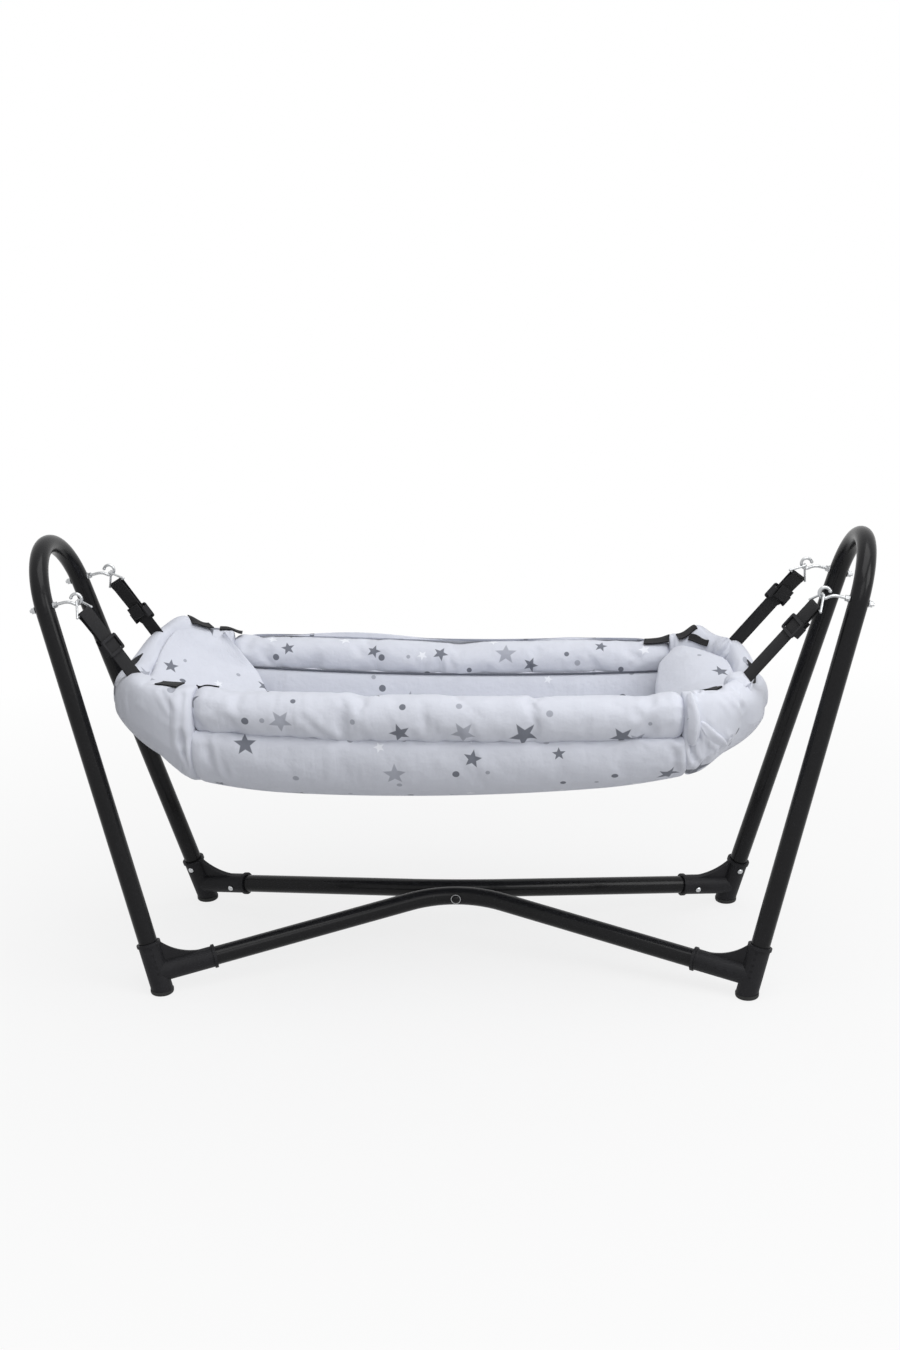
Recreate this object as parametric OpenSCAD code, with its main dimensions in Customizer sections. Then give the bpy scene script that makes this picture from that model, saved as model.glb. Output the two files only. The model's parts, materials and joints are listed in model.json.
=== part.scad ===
// Padded rocking hammock on a tubular stand.
// +X runs along the hammock, +Y to the rear, +Z up. The origin is on the floor, under the stand's middle.

/* [Stand] */
// Outer diameter of the steel tube
tube_d = 25; // [23:0.5:27]
// Wall of the steel tube
tube_wall = 1.5; // [1:0.1:2]
// Left foot to right foot, from leg axis to leg axis at the floor
foot_span = 768; // [740:1:800]
// Front foot to rear foot, from leg axis to leg axis at the floor
foot_depth = 308; // [290:1:330]
// Height of the stand
stand_h = 588; // [570:1:610]
// Outward lean of each arch
lean = 14.8; // [13.5:0.1:16]
// Centre-line radius of the bend at the top of each arch
arch_bend_r = 86; // [80:1:92]
// Height of the base tubes' axes where they meet in the middle
base_rise = 79; // [65:1:95]
// Centre-line radius of the bend in each base tube
base_bend_r = 170; // [130:5:210]
// Thread of the bolt that ties the two base tubes together
base_bolt_d = 6; // [5:0.5:8]

/* [Corner connectors] */
// Height of the corner point, where the axes of a leg and a base tube cross
corner_h = 28; // [26:0.5:32]
// Wall of the moulded sockets
socket_wall = 1.8; // [1.4:0.1:2.4]
// Length of the leg socket above the corner point
leg_socket = 42; // [38:1:55]
// Length of the base socket from the corner point
arm_socket = 80; // [72:1:95]
// Width of the rim round each socket's mouth
rim_w = 4; // [3:0.5:6]
// How far the rim stands proud of the socket
rim_t = 1.6; // [1:0.1:2.4]
// Thickness of the gusset web between the sockets
gusset_t = 7; // [5:0.5:10]
// Radius of the gusset's hollow edge
gusset_r = 75; // [68:1:95]
// Recessed grip marks along each socket
grip_marks = 5; // [3:1:6]
// Diameter of a grip mark
mark_d = 3.6; // [3:0.1:4.5]
// Height of the rubber foot pad
pad_h = 6; // [4:0.5:8]
// Shank of the screws that hold the tubes in the sockets
screw_d = 4; // [3:0.5:4.5]

/* [Hooks and rings] */
// Top of the arches down to the hook holes
hook_drop = 77; // [70:1:85]
// Wire of the hook bolt
wire_d = 4; // [3.5:0.1:4.4]
// Tube axis to the centre of the hook's eye
hook_reach = 44; // [41:1:50]
// Straight shank, from the tube axis
shank_l = 26; // [24:0.5:28]
// Centre-line radius of the hook's eye
hook_r = 7; // [6.6:0.1:8]
// Thickness of the hook nuts
nut_t = 4; // [3:0.5:5]
// Wire of the triangular ring
ring_wire_d = 3; // [2.6:0.1:3.2]
// Centre of the hook's eye to the ring's bar
ring_l = 20; // [19:0.5:24]

/* [Straps and sliders] */
// Width of the webbing
web_w = 25; // [22:1:28]
// Thickness of the webbing
web_t = 1.6; // [1.3:0.1:1.9]
// Turn of the front straps about their own length
front_turn = 20; // [5:1:30]
// Turn of the rear straps about their own length
rear_turn = 58; // [40:1:65]
// Hook centre to the left sliders' bar
slider_left = 75; // [70:1:82]
// Hook centre to the right sliders' bar
slider_right = 57; // [54:1:66]
// Length of the slider along the strap
slider_l = 24; // [22:0.5:28]
// Bar thickness of the slider
slider_bar = 3; // [2.4:0.1:3.6]
// Width of the slider's side rails
slider_rail = 3.6; // [3:0.1:5]
// Length of the webbing folded back over the slider's bar
fold_l = 16; // [10:1:22]

/* [Hammock] */
// Hook holes down to the strap ends, where the hammock hangs
hang_drop = 96; // [89:1:103]
// Leg axes at the floor out to the strap ends
hang_out = 11; // [1:0.5:16]
// Offset of the hammock along the stand
hammock_shift = -10; // [-14:1:14]
// Strap ends in to the seams of the gathered ends
seam_in = 82; // [79:1:92]
// Width of the hammock over its side bolsters
hammock_w = 326; // [306:2:340]
// Length of the left gathered end
end_left_l = 122; // [112:1:128]
// Length of the right gathered end
end_right_l = 108; // [102:1:128]
// Strap ends down to the seam between the side bolsters and the panels below
seam_drop = 68; // [63:1:80]
// Seam down to the underside in the middle
panel_drop = 109; // [101:1:119]
// Slope of the underside, right end up
under_tilt = 1.8; // [0:0.1:2.2]
// Height of a side bolster
roll_h = 57; // [48:1:62]
// Width of a side bolster
roll_w = 54; // [46:1:58]
// Seam down to the widest point of the side panels
shoulder_h = 20; // [16:1:24]
// How far that widest point stands out past the seam
bulge = 4; // [2:0.5:6]
// Padding of the side panels
panel_t = 25; // [18:1:30]
// Padding of the gathered ends, as a share of their plan radius
end_pad = 0.32; // [0.26:0.01:0.36]
// Height of the gathered ends' rim above the seam
end_rim_h = 36; // [30:1:40]
// Lift of that rim at the rear corners and from there to the rear bolster
rear_lift = 25; // [15:1:30]
// Lift of that rim at the front corners
front_lift = 12; // [6:1:16]
// Thickness of the bed pad in the middle
bed_t = 32; // [24:1:38]
// Padding of the inner end panels
lining_t = 8; // [6:0.5:10]
// Rise of the hammock from its middle to its ends
sag = 18; // [8:1:22]
// Tilt of the hammock, left end up
tilt = 1; // [-1:0.1:1.4]
// Gathers round each end
gathers = 13; // [9:2:17]
// Depth of the gathers, as a share of the plan radius
gather_depth = 0.022; // [0:0.002:0.03]

/* [Clearances] */
// Gap between pieces that lie against each other
gap = 0.3; // [0.2:0.05:0.4]
// Gap round a strap's end in its corner anchor
swing_gap = 0.6; // [0.5:0.1:1]

/* [Hidden] */
$fn = 48;
SIDES = [["left", -1], ["right", 1]];
ENDS = [["front", -1], ["rear", 1]];
CORNERS = [for (e = ENDS, s = SIDES) [str(e[0], "_", s[0]), s[1], e[1]]];
CORNER_PARTS = [
    "corner", "foot_pad", "hook", "ring", "strap", "strap_return", "slider", "strap_fold", "corner_anchor"
];

steel_black = [0.07, 0.07, 0.08];
plastic_black = [0.11, 0.11, 0.12];
rubber_black = [0.05, 0.05, 0.05];
webbing_black = [0.09, 0.09, 0.10];
zinc = [0.78, 0.79, 0.80];
cloth_grey = [0.80, 0.81, 0.85];

// Arch: two legs that lean together, joined by one bend, in a plane that leans outward
foot_x = foot_span / 2;
foot_y = foot_depth / 2;
bend_u = (stand_h - tube_d / 2) / cos(lean) - arch_bend_r;
taper = acos(arch_bend_r / norm([foot_y, bend_u])) - atan2(bend_u, foot_y);
leg_l = (bend_u + arch_bend_r * sin(taper)) / cos(taper);

// Corner point of the right rear foot, where the axes of leg and base tube cross
corner_u = corner_h / cos(lean);
corner = [foot_x + corner_h * tan(lean), foot_y - corner_u * tan(taper), corner_h];
leg_stop = 0.32 * tube_d;
leg_start = corner_u / cos(taper) + leg_stop;
leg_dir = [sin(lean) * cos(taper), -sin(taper), cos(lean) * cos(taper)];

// Base tube: two arms and a bend, in a plane through both corner points and the middle
base_mid_y = tube_d / 2 + gap / 2;
base_run = corner.y - base_mid_y;
base_lift = base_rise - corner.z;
base_s = norm([base_run, base_lift]);
base_up = [0, base_run, base_lift] / base_s;
base_c = base_s - base_bend_r;
base_far = norm([corner.x, base_c]);
arm_angle = asin(base_bend_r / base_far) - atan2(-base_c, corner.x);
arm_l = sqrt(base_far * base_far - base_bend_r * base_bend_r);
arm_dir = [-cos(arm_angle), -base_up.y * sin(arm_angle), base_up.z * sin(arm_angle)];
arm_stop = 0.8 * tube_d;

// Sockets
socket_d = tube_d + 2 * (gap / 2 + socket_wall);
socket_rim_d = socket_d + 2 * rim_t;
pad_d = socket_d + 2;
mark_depth = 0.2 * mark_d;
screw_place = 0.72;
screw_head_d = 2 * screw_d;

// Hook bolt
hook_h = stand_h - hook_drop;
hook_u = hook_h / cos(lean);
bend_tangent_u = bend_u + arch_bend_r * sin(taper);
hook_y = hook_u > bend_tangent_u
    ? sqrt(arch_bend_r * arch_bend_r - (hook_u - bend_u) * (hook_u - bend_u))
    : foot_y - hook_u * tan(taper);
hook_inward = [-cos(lean), 0, sin(lean)];
hook_base = [foot_x + hook_h * tan(lean), hook_y, hook_h];
hook_eye = hook_base + hook_reach * hook_inward;
neck_run = hook_reach - shank_l;
neck_r = (neck_run * neck_run - hook_r * hook_r) / (2 * hook_r);
neck_angle = atan2(neck_r, neck_run);
hook_wrap = 285;
washer_t = wire_d / 4;
washer_d = 2.4 * wire_d;
nut_d = 2.1 * wire_d;
shank_out = tube_d / 2 + washer_t + nut_t + 0.6 * wire_d;

// Strap: straight from the hook's eye to the hammock's corner
strap_end_x = foot_x + hang_out;
loop_in = ring_wire_d / 2 + gap;
loop_mid = loop_in + web_t / 2;
ring_half = web_w / 2 + 1.7 * ring_wire_d;
ring_top = wire_d / 2 + ring_wire_d * 5 / 6;
ring_top_at = hook_r - wire_d / 2 - 0.7 * ring_wire_d;

// Slider: outer bars under the strap, one round bar over it
slider_under = -web_t / 2 - gap - slider_bar * 0.8;
fold_in = slider_bar / 2 + gap;
slider_bar_n = web_t / 2 + gap + web_t + fold_in;
slider_in = 0.52 * web_w;
slider_out = slider_in + slider_rail;

// Corner anchor
end_r = web_w / 2;
anchor_r = 0.8 * web_w;
anchor_shift = 0.32 * web_w;

// Hammock outline, with x measured from the hammock's own middle
hang_h = hook_h - hang_drop;
seam_h = hang_h - seam_drop;
under_h = seam_h - panel_drop;
end_x = strap_end_x - seam_in;
half_w = hammock_w / 2;
roll_y = half_w - roll_w / 2;
roll_z = seam_h + gap + roll_h / 2;
panel_half_w = half_w - roll_w / 9;
hub = 0.04;
end_bottom_lift = 0.156 * panel_drop;
lift_start = 0.633 * end_x;

function unit(v) = v / norm(v);
function side_name(v, list) = [for (i = list) if (i[1] == v) i[0]][0];
function end_len(sx) = sx < 0 ? end_left_l : end_right_l;
function lift(x) =
    end_bottom_lift * pow(max(0, abs(x) - lift_start) / (end_x - lift_start), 2) + x * tan(under_tilt);
function rise(x) = sag * pow(x / (end_x + end_left_l), 2) - x * tan(tilt);
function in_place(p) = [p.x + hammock_shift, p.y, p.z + rise(p.x)];

// Frame of one strap: along it, across it and out of its face
function eye_at(sx, sy) = [sx * hook_eye.x, sy * hook_eye.y, hook_eye.z];
function strap_foot(sx, sy) = [hammock_shift + sx * strap_end_x, sy * hook_y, hang_h];
function strap_len(sx) = norm(strap_foot(sx, 1) - eye_at(sx, 1));
function strap_dir(sx) = unit(strap_foot(sx, 1) - eye_at(sx, 1));
function strap_turn(sy) = sy < 0 ? front_turn : rear_turn;
function strap_face(sx, sy) =
    let (d = strap_dir(sx), flat = [-d.z, 0, d.x] * sx)
    flat * cos(strap_turn(sy)) - [0, sy, 0] * sin(strap_turn(sy));
function slider_at(sx) = sx < 0 ? slider_left : slider_right;

module place(o, ex, ey, ez)
    multmatrix([
        [ex.x, ey.x, ez.x, o.x],
        [ex.y, ey.y, ez.y, o.y],
        [ex.z, ey.z, ez.z, o.z],
        [0, 0, 0, 1]
    ]) children();

module at_corner(sx, sy)
    mirror([sx < 0 ? 1 : 0, 0, 0]) mirror([0, sy < 0 ? 1 : 0, 0]) children();

module rod(p, q, d) {
    axis = unit(q - p);
    side = unit(abs(axis.z) < 0.9 ? cross(axis, [0, 0, 1]) : cross(axis, [1, 0, 0]));
    place(p, side, cross(axis, side), axis) cylinder(d = d, h = norm(q - p));
}

// A bent length of round bar in the XY plane, about the origin
module bend(r, d, from, sweep)
    rotate([0, 0, from]) rotate_extrude(angle = sweep) translate([r, 0]) circle(d = d);

// Tube: a bend is drawn down a little, and the straight lengths lap over its ends
bend_draw = 0.1;
bend_lap = 0.5;

module straight_tube(l)
    difference() {
        cylinder(d = tube_d, h = l);
        translate([0, 0, -1]) cylinder(d = tube_d - 2 * tube_wall, h = l + 2);
    }

module bent_tube(r, from, sweep)
    rotate([0, 0, from]) rotate_extrude(angle = sweep) translate([r, 0]) rotate(45) difference() {
        circle(d = tube_d - bend_draw);
        circle(d = tube_d - 2 * tube_wall + bend_draw);
    }

// Arch tubes
module arch_frame(sx)
    place([sx * foot_x, 0, 0], [0, 1, 0], [sx * sin(lean), 0, cos(lean)], [cos(lean), 0, -sx * sin(lean)])
        children();

module arch(sx)
    color(steel_black) difference() {
        arch_frame(sx) difference() {
            union() {
                for (f = [-1, 1])
                    translate([f * foot_y, 0, 0]) rotate([0, 0, f * taper]) translate([0, leg_start, 0])
                        rotate([-90, 0, 0]) straight_tube(leg_l - leg_start + bend_lap);
                translate([0, bend_u, 0]) bent_tube(arch_bend_r, taper, 180 - 2 * taper);
            }
            for (f = [-1, 1])
                translate([f * hook_y, hook_u, 0])
                    cylinder(d = wire_d + 2 * gap, h = 2 * tube_d, center = true);
        }
        for (sy = [-1, 1])
            at_corner(sx, sy) corner_frame() leg_screw() cylinder(d = screw_d + 2 * gap, h = tube_d);
    }

// Base tubes
module base_frame(sy)
    place([0, sy * corner.y, corner.z], [1, 0, 0], [0, -sy * base_up.y, base_up.z],
        [0, -base_up.z, -sy * base_up.y]) children();

module base_tube(sy)
    color(steel_black) difference() {
        base_frame(sy) {
            for (f = [0, 1])
                mirror([f, 0, 0])
                    translate([base_bend_r * sin(arm_angle), base_c + base_bend_r * cos(arm_angle), 0])
                        rotate([0, 0, -arm_angle]) rotate([0, 90, 0]) translate([0, 0, -bend_lap])
                            straight_tube(arm_l - arm_stop + bend_lap);
            difference() {
                translate([0, base_c, 0]) bent_tube(base_bend_r, 90 - arm_angle, 2 * arm_angle);
                translate([0, base_s, 0]) rotate([-90 + sy * atan2(base_up.z, base_up.y), 0, 0])
                    cylinder(d = base_bolt_d + 2 * gap, h = 2 * tube_d, center = true);
            }
        }
        for (sx = [-1, 1])
            at_corner(sx, sy) corner_frame() arm_screw() cylinder(d = screw_d + 2 * gap, h = tube_d);
    }

base_bolt_end = base_mid_y + tube_d / 2 + washer_t;
base_nut_t = 0.8 * base_bolt_d;

module along_base_bolt(y) translate([0, y, base_rise]) rotate([-90, 0, 0]) children();

module base_bolt()
    color(steel_black) {
        along_base_bolt(-base_bolt_end)
            cylinder(d = base_bolt_d, h = 2 * base_bolt_end + base_nut_t + base_bolt_d / 4);
        along_base_bolt(-base_bolt_end) intersection() {
            translate([0, 0, base_bolt_d * 0.55]) sphere(r = base_bolt_d * 1.15);
            mirror([0, 0, 1]) cylinder(r = 2 * base_bolt_d, h = 2 * base_bolt_d);
        }
    }

module base_nut()
    color(steel_black) along_base_bolt(base_bolt_end) difference() {
        cylinder(d = 2 * base_bolt_d, h = base_nut_t, $fn = 6);
        translate([0, 0, -1]) cylinder(d = base_bolt_d + 2 * gap, h = base_nut_t + 2);
    }

module base_washers()
    color(zinc) for (f = [0, 1])
        mirror([0, f, 0]) along_base_bolt(base_bolt_end - washer_t) difference() {
            cylinder(d = 2.2 * base_bolt_d, h = washer_t);
            translate([0, 0, -1]) cylinder(d = base_bolt_d + 2 * gap, h = washer_t + 2);
        }

// Moulded corner connectors: a leg socket and a base socket with a hollow-edged gusset between them
leg_angle = acos(leg_dir * arm_dir);
corner_across = unit(cross(leg_dir, arm_dir));

module corner_frame() place(corner, arm_dir, corner_across, cross(arm_dir, corner_across)) children();
module along_leg() rotate([0, 90 - leg_angle, 0]) children();
module along_arm() rotate([0, 90, 0]) children();
module leg_screw() along_leg() translate([0, 0, leg_socket * screw_place]) rotate([-90, 0, 0]) children();
module arm_screw() along_arm() translate([0, 0, arm_socket * screw_place]) rotate([-90, 0, 0]) children();

module rimmed_socket(from, l, d) {
    translate([0, 0, from]) cylinder(d = d, h = l - from - rim_w / 2);
    translate([0, 0, l - rim_w]) cylinder(d = socket_rim_d, h = rim_w);
}

module grip_row(l, first)
    for (i = [0 : grip_marks - 1])
        translate([0, -socket_d / 2, first + (l - 2 * rim_w - first) * i / (grip_marks - 1)])
            rotate([90, 0, 0]) cylinder(d = mark_d, h = 2 * mark_depth, center = true);

module gusset() {
    inset = socket_d / 2 - 0.8;
    leg_corner = [cos(leg_angle), sin(leg_angle)] * (leg_socket - rim_w / 2);
    arm_corner = [arm_socket - rim_w / 2, 0];
    start = leg_corner + [sin(leg_angle), -cos(leg_angle)] * inset;
    stop = arm_corner + [0, inset];
    half = norm(stop - start) / 2;
    away = unit([start.y - stop.y, stop.x - start.x]);
    centre = (start + stop) / 2 + away * sqrt(gusset_r * gusset_r - half * half);
    rotate([90, 0, 0]) linear_extrude(height = gusset_t, center = true) difference() {
        polygon([[0, 0], arm_corner, stop, start, leg_corner]);
        translate(centre) circle(r = gusset_r, $fn = 96);
    }
}

module corner_connector(sx, sy)
    color(plastic_black) at_corner(sx, sy) difference() {
        corner_frame() difference() {
            union() {
                along_leg() rimmed_socket(-corner_h, leg_socket, socket_d);
                along_arm() rimmed_socket(0, arm_socket, socket_d - 0.6);
                gusset();
            }
            along_leg() translate([0, 0, leg_stop]) cylinder(d = tube_d + gap, h = leg_socket);
            along_arm() translate([0, 0, arm_stop]) cylinder(d = tube_d + gap, h = arm_socket);
            along_leg() grip_row(leg_socket, 0);
            along_arm() grip_row(arm_socket, socket_d * 0.7);
            leg_screw() cylinder(d = screw_d + 2 * gap, h = tube_d);
            arm_screw() cylinder(d = screw_d + 2 * gap, h = tube_d);
        }
        translate([corner.x, corner.y, pad_h - corner_h]) cube(2 * corner_h, center = true);
    }

module foot_pad(sx, sy)
    color(rubber_black) at_corner(sx, sy)
        translate([foot_x + pad_h * tan(lean), foot_y - pad_h / cos(lean) * tan(taper), 0])
            rotate_extrude() {
                square([pad_d / 2 - pad_h / 2, pad_h]);
                translate([0, pad_h / 2]) square([pad_d / 2, pad_h / 2]);
                translate([pad_d / 2 - pad_h / 2, pad_h / 2]) circle(r = pad_h / 2);
            }

module screw() {
    bite = socket_d / 2 - tube_d / 2 + tube_wall + screw_d / 2;
    translate([0, 0, socket_d / 2 - bite]) cylinder(d = screw_d, h = bite + 0.1);
    intersection() {
        translate([0, 0, socket_d / 2 - screw_d * 0.5]) sphere(d = screw_head_d * 1.12);
        translate([0, 0, socket_d / 2 + 0.05]) cylinder(d = 2 * screw_head_d, h = screw_head_d);
    }
}

module corner_screws()
    color(zinc) for (c = CORNERS) at_corner(c[1], c[2]) corner_frame() {
        leg_screw() screw();
        arm_screw() screw();
    }

// Hook bolts
module hook_frame(sx, sy, along = 0)
    at_corner(sx, sy)
        place(hook_base + along * hook_inward, hook_inward, [sin(lean), 0, cos(lean)], [0, 1, 0]) children();

module hook(sx, sy)
    color(zinc) hook_frame(sx, sy) {
        translate([-shank_out, 0, 0]) rotate([0, 90, 0]) cylinder(d = wire_d, h = shank_out + shank_l + 0.3);
        translate([shank_l, -neck_r, 0]) bend(neck_r, wire_d - bend_draw, neck_angle, 90 - neck_angle);
        translate([hook_reach, 0, 0]) bend(hook_r, wire_d, 177 + neck_angle, hook_wrap);
        translate([hook_reach, 0, 0]) rotate([0, 0, 177 + neck_angle + hook_wrap]) translate([hook_r, 0, 0])
            sphere(d = 1.15 * wire_d);
    }

module hook_stack(sx, sy, from, t, d, sides)
    for (f = [0, 1])
        hook_frame(sx, sy) mirror([f, 0, 0]) translate([tube_d / 2 + from, 0, 0]) rotate([0, 90, 0])
            difference() {
                cylinder(d = d, h = t, $fn = sides);
                translate([0, 0, -1]) cylinder(d = wire_d + 2 * gap, h = t + 2);
            }

module hook_washers()
    color(zinc) for (c = CORNERS) hook_stack(c[1], c[2], 0, washer_t, washer_d, $fn);

module hook_nuts()
    color(zinc) for (c = CORNERS) hook_stack(c[1], c[2], washer_t, nut_t, nut_d, 6);

// Rings, straps and sliders, in the strap's own frame: X along it, Y across it, Z out of its face
module strap_frame(sx, sy) {
    along = strap_dir(sx);
    face = strap_face(sx, sy);
    place(eye_at(sx, sy), along, cross(face, along), face) children();
}

// The ring's short top bar stays square to the hook's eye, and its long bar turns with the strap
module ring(sx, sy) {
    turn = strap_turn(sy);
    top = [0, sx * cos(turn), -sy * sin(turn)] * ring_top;
    corners = [
        [ring_top_at, 0, 0] + top,
        [ring_l, sx * ring_half, loop_mid],
        [ring_l, -sx * ring_half, loop_mid],
        [ring_top_at, 0, 0] - top
    ];
    color(zinc) strap_frame(sx, sy) for (i = [0 : 3]) {
        rod(corners[i], corners[(i + 1) % 4], ring_wire_d);
        translate(corners[i]) sphere(d = 1.15 * ring_wire_d);
    }
}

module web_loop(t, n, r, from)
    translate([t, 0, n]) rotate([-90, 0, 0]) rotate([0, 0, from]) rotate_extrude(angle = 180)
        translate([r, -web_w / 2]) square([web_t, web_w]);

module strap(sx, sy)
    color(webbing_black) strap_frame(sx, sy) {
        translate([ring_l, -web_w / 2, -web_t / 2]) cube([strap_len(sx) - ring_l, web_w, web_t]);
        translate([strap_len(sx), 0, 0]) cylinder(r = end_r, h = web_t, center = true);
        web_loop(ring_l, loop_mid, loop_in, 90);
    }

module strap_return(sx, sy) {
    last = slider_at(sx) - gap;
    high = 2 * loop_mid;
    low = slider_bar_n - fold_in - web_t / 2;
    color(webbing_black) strap_frame(sx, sy) rotate([90, 0, 0]) linear_extrude(height = web_w, center = true)
        polygon([
            [ring_l + gap, high - web_t / 2],
            [last, low - web_t / 2],
            [last, low + web_t / 2],
            [ring_l + gap, high + web_t / 2]
        ]);
}

module strap_fold(sx, sy)
    color(webbing_black) strap_frame(sx, sy) {
        web_loop(slider_at(sx), slider_bar_n, fold_in, -90);
        translate([slider_at(sx) - fold_l, -web_w / 2, slider_bar_n + fold_in]) cube([fold_l, web_w, web_t]);
    }

module rounded_plate(l, w, r) {
    square([l - 2 * r, w], center = true);
    square([l, w - 2 * r], center = true);
    for (x = [-1, 1], y = [-1, 1]) translate([x * (l / 2 - r), y * (w / 2 - r)]) circle(r = r);
}

module slider(sx, sy) {
    bar_l = slider_l / 6;
    plate_t = slider_bar * 0.8;
    rail_l = slider_l - 2 * bar_l;
    color(plastic_black) strap_frame(sx, sy) translate([slider_at(sx), 0, 0]) {
        translate([0, 0, slider_under]) linear_extrude(height = plate_t) difference() {
            rounded_plate(slider_l, 2 * slider_out, slider_rail);
            square([rail_l, 2 * slider_in], center = true);
        }
        for (f = [-1, 1])
            translate([0, f * (slider_in + slider_rail / 2), slider_under])
                linear_extrude(height = slider_bar_n + slider_bar / 2 - slider_under)
                    rounded_plate(rail_l, slider_rail, slider_rail / 3);
        translate([0, 0, slider_bar_n]) rotate([90, 0, 0])
            cylinder(d = slider_bar, h = 2 * slider_in + slider_rail, center = true);
    }
}

// Corner anchors: cupped patches of gathered cloth that the strap ends are sewn into
module anchor_ball(sx, sy, grow)
    strap_frame(sx, sy) translate([strap_len(sx) + anchor_shift, 0, 0]) rotate([90, 0, 0])
        sphere(r = anchor_r + grow);

module strap_end_room(sx, sy, r)
    strap_frame(sx, sy) translate([strap_len(sx), 0, 0]) sphere(r = r);

module corner_anchor(sx, sy)
    color(cloth_grey) strap_frame(sx, sy) translate([strap_len(sx), 0, 0]) rotate([0, 90, 0])
        rotate_extrude() difference() {
            intersection() {
                translate([0, anchor_shift]) circle(r = anchor_r);
                translate([0, anchor_shift / 4]) square(2 * anchor_r);
            }
            circle(r = end_r + swing_gap);
        }

// Padded cloth: sections of paired upper and lower points, joined into one closed skin
function loft_points(rings) = [for (r = rings, p = r) p];
function loft_sides(n, m) =
    [for (i = [0 : n - 2], j = [0 : m - 1])
        let (a = i * m + j, b = i * m + (j + 1) % m)
        each [[a, b + m, b], [a, a + m, b + m]]];
function loft_cap(at, m, flip) =
    [for (j = [0 : m / 2 - 2])
        let (a = at + j, b = at + j + 1, c = at + m - 2 - j, d = at + m - 1 - j)
        each (flip ? [[a, c, b], [a, d, c]] : [[a, b, c], [a, c, d]])];

module loft(rings) {
    n = len(rings);
    m = len(rings[0]);
    polyhedron(
        points = loft_points(rings),
        faces = concat(loft_sides(n, m), loft_cap(0, m, false), loft_cap((n - 1) * m, m, true))
    );
}

function reversed(list) = [for (i = [len(list) - 1 : -1 : 0]) list[i]];
function steps(from, to, n) = [for (i = [0 : n]) from + (to - from) * i / n];

// Side bolsters: rolls with a crown, drawn in towards both ends
roll_points = 20;
roll_end = end_x - 0.08 * panel_t;
roll_draw = 0.88 * roll_h;
function roll_swell(x) = sqrt(1 - 0.75 * pow(max(0, abs(x) - roll_end + 0.92 * roll_draw) / roll_draw, 2));
function roll_ring(x, sy) =
    [for (i = [0 : roll_points - 1])
        let (a = (i + 0.5) * 360 / roll_points, s = roll_swell(x))
        in_place([
            x,
            sy * (roll_y + s * roll_w / 2 * cos(sy * a)),
            roll_z + s * roll_h / 2 * sin(sy * a)
        ])];
roll_stations = concat(
    [for (i = [0 : 5]) -roll_end + roll_draw * (1 - cos(i * 18))],
    steps(-roll_end + 1.8 * roll_draw, roll_end - 1.8 * roll_draw, 12),
    [for (i = [5 : -1 : 0]) roll_end - roll_draw * (1 - cos(i * 18))]
);

module side_bolster(sy) color(cloth_grey) loft([for (x = roll_stations) roll_ring(x, sy)]);

// Side panels: padded quarter shells under the bolsters, which meet in a seam along the middle
panel_steps = 12;
shoulder_y = roll_y + roll_w / 18;
panel_wide = panel_half_w + bulge;
function panel_point(x, a, w, drop, sy) =
    in_place([x, sy * max(gap / 2, w * cos(a)), seam_h - drop * sin(a) + lift(x) * sin(a)]);
function panel_swell(x) = 1 - 0.05 * pow(abs(x) / end_x, 12);
function shoulder_point(x, a, sy) =
    in_place([
        x,
        sy * (shoulder_y + (panel_wide - shoulder_y) * cos(a)) * panel_swell(x),
        seam_h - shoulder_h * (1 - sin(a))
    ]);
function under_point(x, a, sy) =
    in_place([
        x,
        sy * max(gap / 2, panel_wide * panel_swell(x) * cos(a)),
        seam_h - shoulder_h - (panel_drop - shoulder_h - lift(x)) * sin(a)
    ]);
function panel_ring(x, sy) =
    let (
        outer = concat(
            [for (a = [90, 55, 25]) shoulder_point(x, a, sy)],
            [for (a = steps(0, 90, panel_steps - 3)) under_point(x, a, sy)]
        ),
        inner = [for (a = steps(0, 90, panel_steps))
            panel_point(x, a, panel_half_w - panel_t, panel_drop - panel_t, sy)]
    )
    sy < 0 ? concat(outer, reversed(inner)) : concat(inner, reversed(outer));
panel_stations = concat(
    [for (i = [0 : 3]) -end_x + gap + i * 0.56 * panel_t],
    steps(-end_x + 2.8 * panel_t, end_x - 2.8 * panel_t, 14),
    [for (i = [3 : -1 : 0]) end_x - gap - i * 0.56 * panel_t]
);

module side_panel(sy) color(cloth_grey) loft([for (x = panel_stations) panel_ring(x, sy)]);

// Bed pad: follows the trough below and has a crowned top
bed_gap = 0.5;
bed_end = end_x - panel_t / 5;
bed_half_w = 0.72 * (panel_half_w - panel_t);
bed_steps = 12;
function trough(x, y) =
    seam_h - (panel_drop - panel_t - lift(x)) * sqrt(1 - pow(y / (panel_half_w - panel_t), 2));
function bed_top(x, y) =
    max(
        under_h + panel_t + bed_t * (1 - 0.19 * pow(y / bed_half_w, 2)) + lift(x),
        trough(x, y) + bed_gap + bed_t / 10
    );
function bed_draw(x) = 1 - 0.25 * pow(abs(x) / bed_end, 8);
function bed_ring(x) =
    let (
        ys = [for (y = steps(-bed_half_w, bed_half_w, bed_steps)) y * bed_draw(x)],
        top = [for (y = ys) in_place([x, y, bed_top(x, y)])],
        under = [for (y = ys) in_place([x, y, trough(x, y) + bed_gap])]
    )
    concat(under, reversed(top));

module bed_pad() color(cloth_grey) loft([for (x = steps(-bed_end, bed_end, 20)) bed_ring(x)]);

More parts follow.
